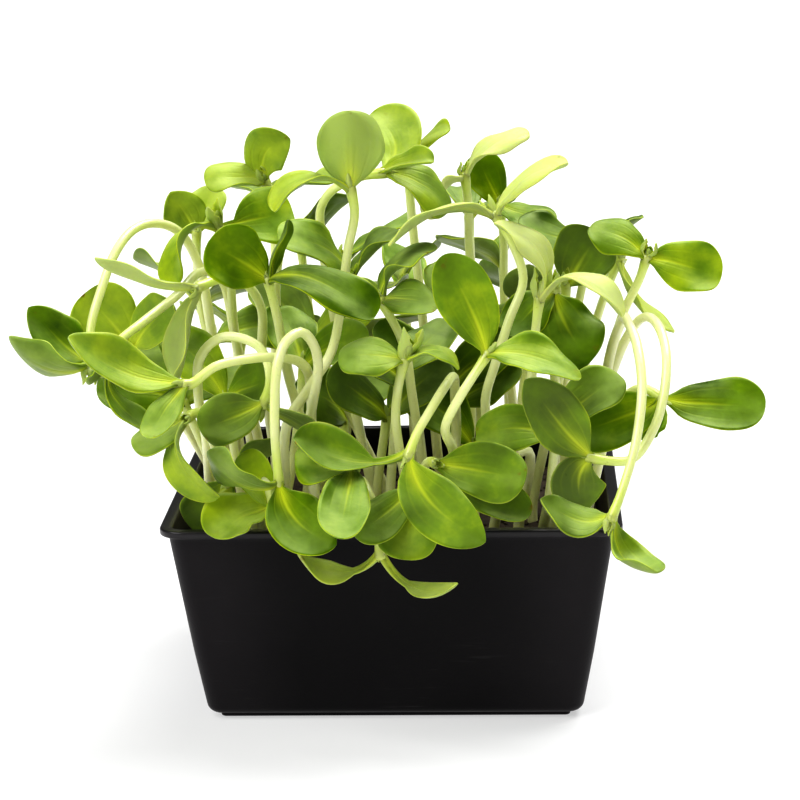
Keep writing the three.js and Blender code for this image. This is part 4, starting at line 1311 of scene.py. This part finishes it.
class StudioSettings(bpy.types.PropertyGroup):
    floor_colour: colour_setting("Floor", "Plain pale floor", (0.42, 0.42, 0.42))
    floor_light: number_setting("Floor light", "Light that comes up through the floor", 0.4, min=0)
    floor_size: number_setting("Floor size", "Half the floor's side", 8, min=1, unit="LENGTH")
    surround: number_setting("Surround", "Light from all round", 0.12, min=0)
    key_strength: number_setting("Key light", "Soft light from above and behind", 2.7, min=0)
    side_strength: number_setting("Side light", "Soft light from the front, upper left", 1.6, min=0)
    softness: angle_setting("Softness", "How wide both lights look", 45)
    lens: number_setting("Lens", "Focal length", 129.06, unit="CAMERA")
    camera_place: bpy.props.FloatVectorProperty(
        name="Camera place", description="Where the camera stands", default=(0.0369, -0.834, 0.2679),
        subtype="TRANSLATION", unit="LENGTH",
    )
    camera_heading: angle_setting("Heading", "Turn of the camera to the left", 2.48)
    camera_dip: angle_setting("Dip", "How far the camera looks down", 12.57)
    camera_roll: angle_setting("Roll", "How far the camera leans", -1.03)


class MICROGREENS_OT_tray(bpy.types.Operator):
    """Make the square black tray"""

    bl_idname = "microgreens.tray"
    bl_label = "Make Tray"

    def execute(self, context):
        make_tray(context.scene.tray_finish)
        return {"FINISHED"}


class MICROGREENS_OT_soil(bpy.types.Operator):
    """Fill the tray with growing medium"""

    bl_idname = "microgreens.soil"
    bl_label = "Fill with Soil"

    def execute(self, context):
        make_soil(context.scene.soil_finish)
        return {"FINISHED"}


class MICROGREENS_OT_seedlings(bpy.types.Operator):
    """Grow every seedling where it stands in the tray"""

    bl_idname = "microgreens.seedlings"
    bl_label = "Grow Seedlings"

    def execute(self, context):
        finish = context.scene.sprout_finish
        materials = [stem_material(finish), leaf_material(finish)]
        for plan in seedling_plans():
            make_seedling(plan, materials)
        return {"FINISHED"}


class MICROGREENS_OT_studio(bpy.types.Operator):
    """Set up the floor, the lights and the camera"""

    bl_idname = "microgreens.studio"
    bl_label = "Set Up Studio"

    def execute(self, context):
        studio = context.scene.studio_settings
        make_floor(studio)
        make_world(studio)
        make_camera(studio)
        make_light("key_light", KEY_PLACE, studio.key_strength, studio.softness)
        make_light("side_light", SIDE_PLACE, studio.side_strength, studio.softness)
        context.scene.view_settings.view_transform = "Standard"
        context.scene.view_settings.look = "High Contrast"
        return {"FINISHED"}


class MICROGREENS_PT_panel(bpy.types.Panel):
    bl_label = "Microgreens"
    bl_idname = "MICROGREENS_PT_panel"
    bl_space_type = "VIEW_3D"
    bl_region_type = "UI"
    bl_category = "Microgreens"

    def draw(self, context):
        for operator, settings in STEPS:
            self.layout.operator(operator.bl_idname)
            group = getattr(context.scene, settings)
            for name in group.__annotations__:
                self.layout.prop(group, name)


SETTINGS = {
    "studio_settings": StudioSettings,
    "tray_finish": TrayFinish,
    "soil_finish": SoilFinish,
    "sprout_finish": SproutFinish,
}
STEPS = (
    (MICROGREENS_OT_studio, "studio_settings"),
    (MICROGREENS_OT_tray, "tray_finish"),
    (MICROGREENS_OT_soil, "soil_finish"),
    (MICROGREENS_OT_seedlings, "sprout_finish"),
)


def register():
    for name, settings in SETTINGS.items():
        bpy.utils.register_class(settings)
        setattr(bpy.types.Scene, name, bpy.props.PointerProperty(type=settings))
    for operator, _ in STEPS:
        bpy.utils.register_class(operator)
    bpy.utils.register_class(MICROGREENS_PT_panel)


def unregister():
    bpy.utils.unregister_class(MICROGREENS_PT_panel)
    for operator, _ in reversed(STEPS):
        bpy.utils.unregister_class(operator)
    for name, settings in SETTINGS.items():
        delattr(bpy.types.Scene, name)
        bpy.utils.unregister_class(settings)


def main():
    register()
    bpy.ops.microgreens.studio()
    bpy.ops.microgreens.tray()
    bpy.ops.microgreens.soil()
    bpy.ops.microgreens.seedlings()


if __name__ == "__main__":
    main()
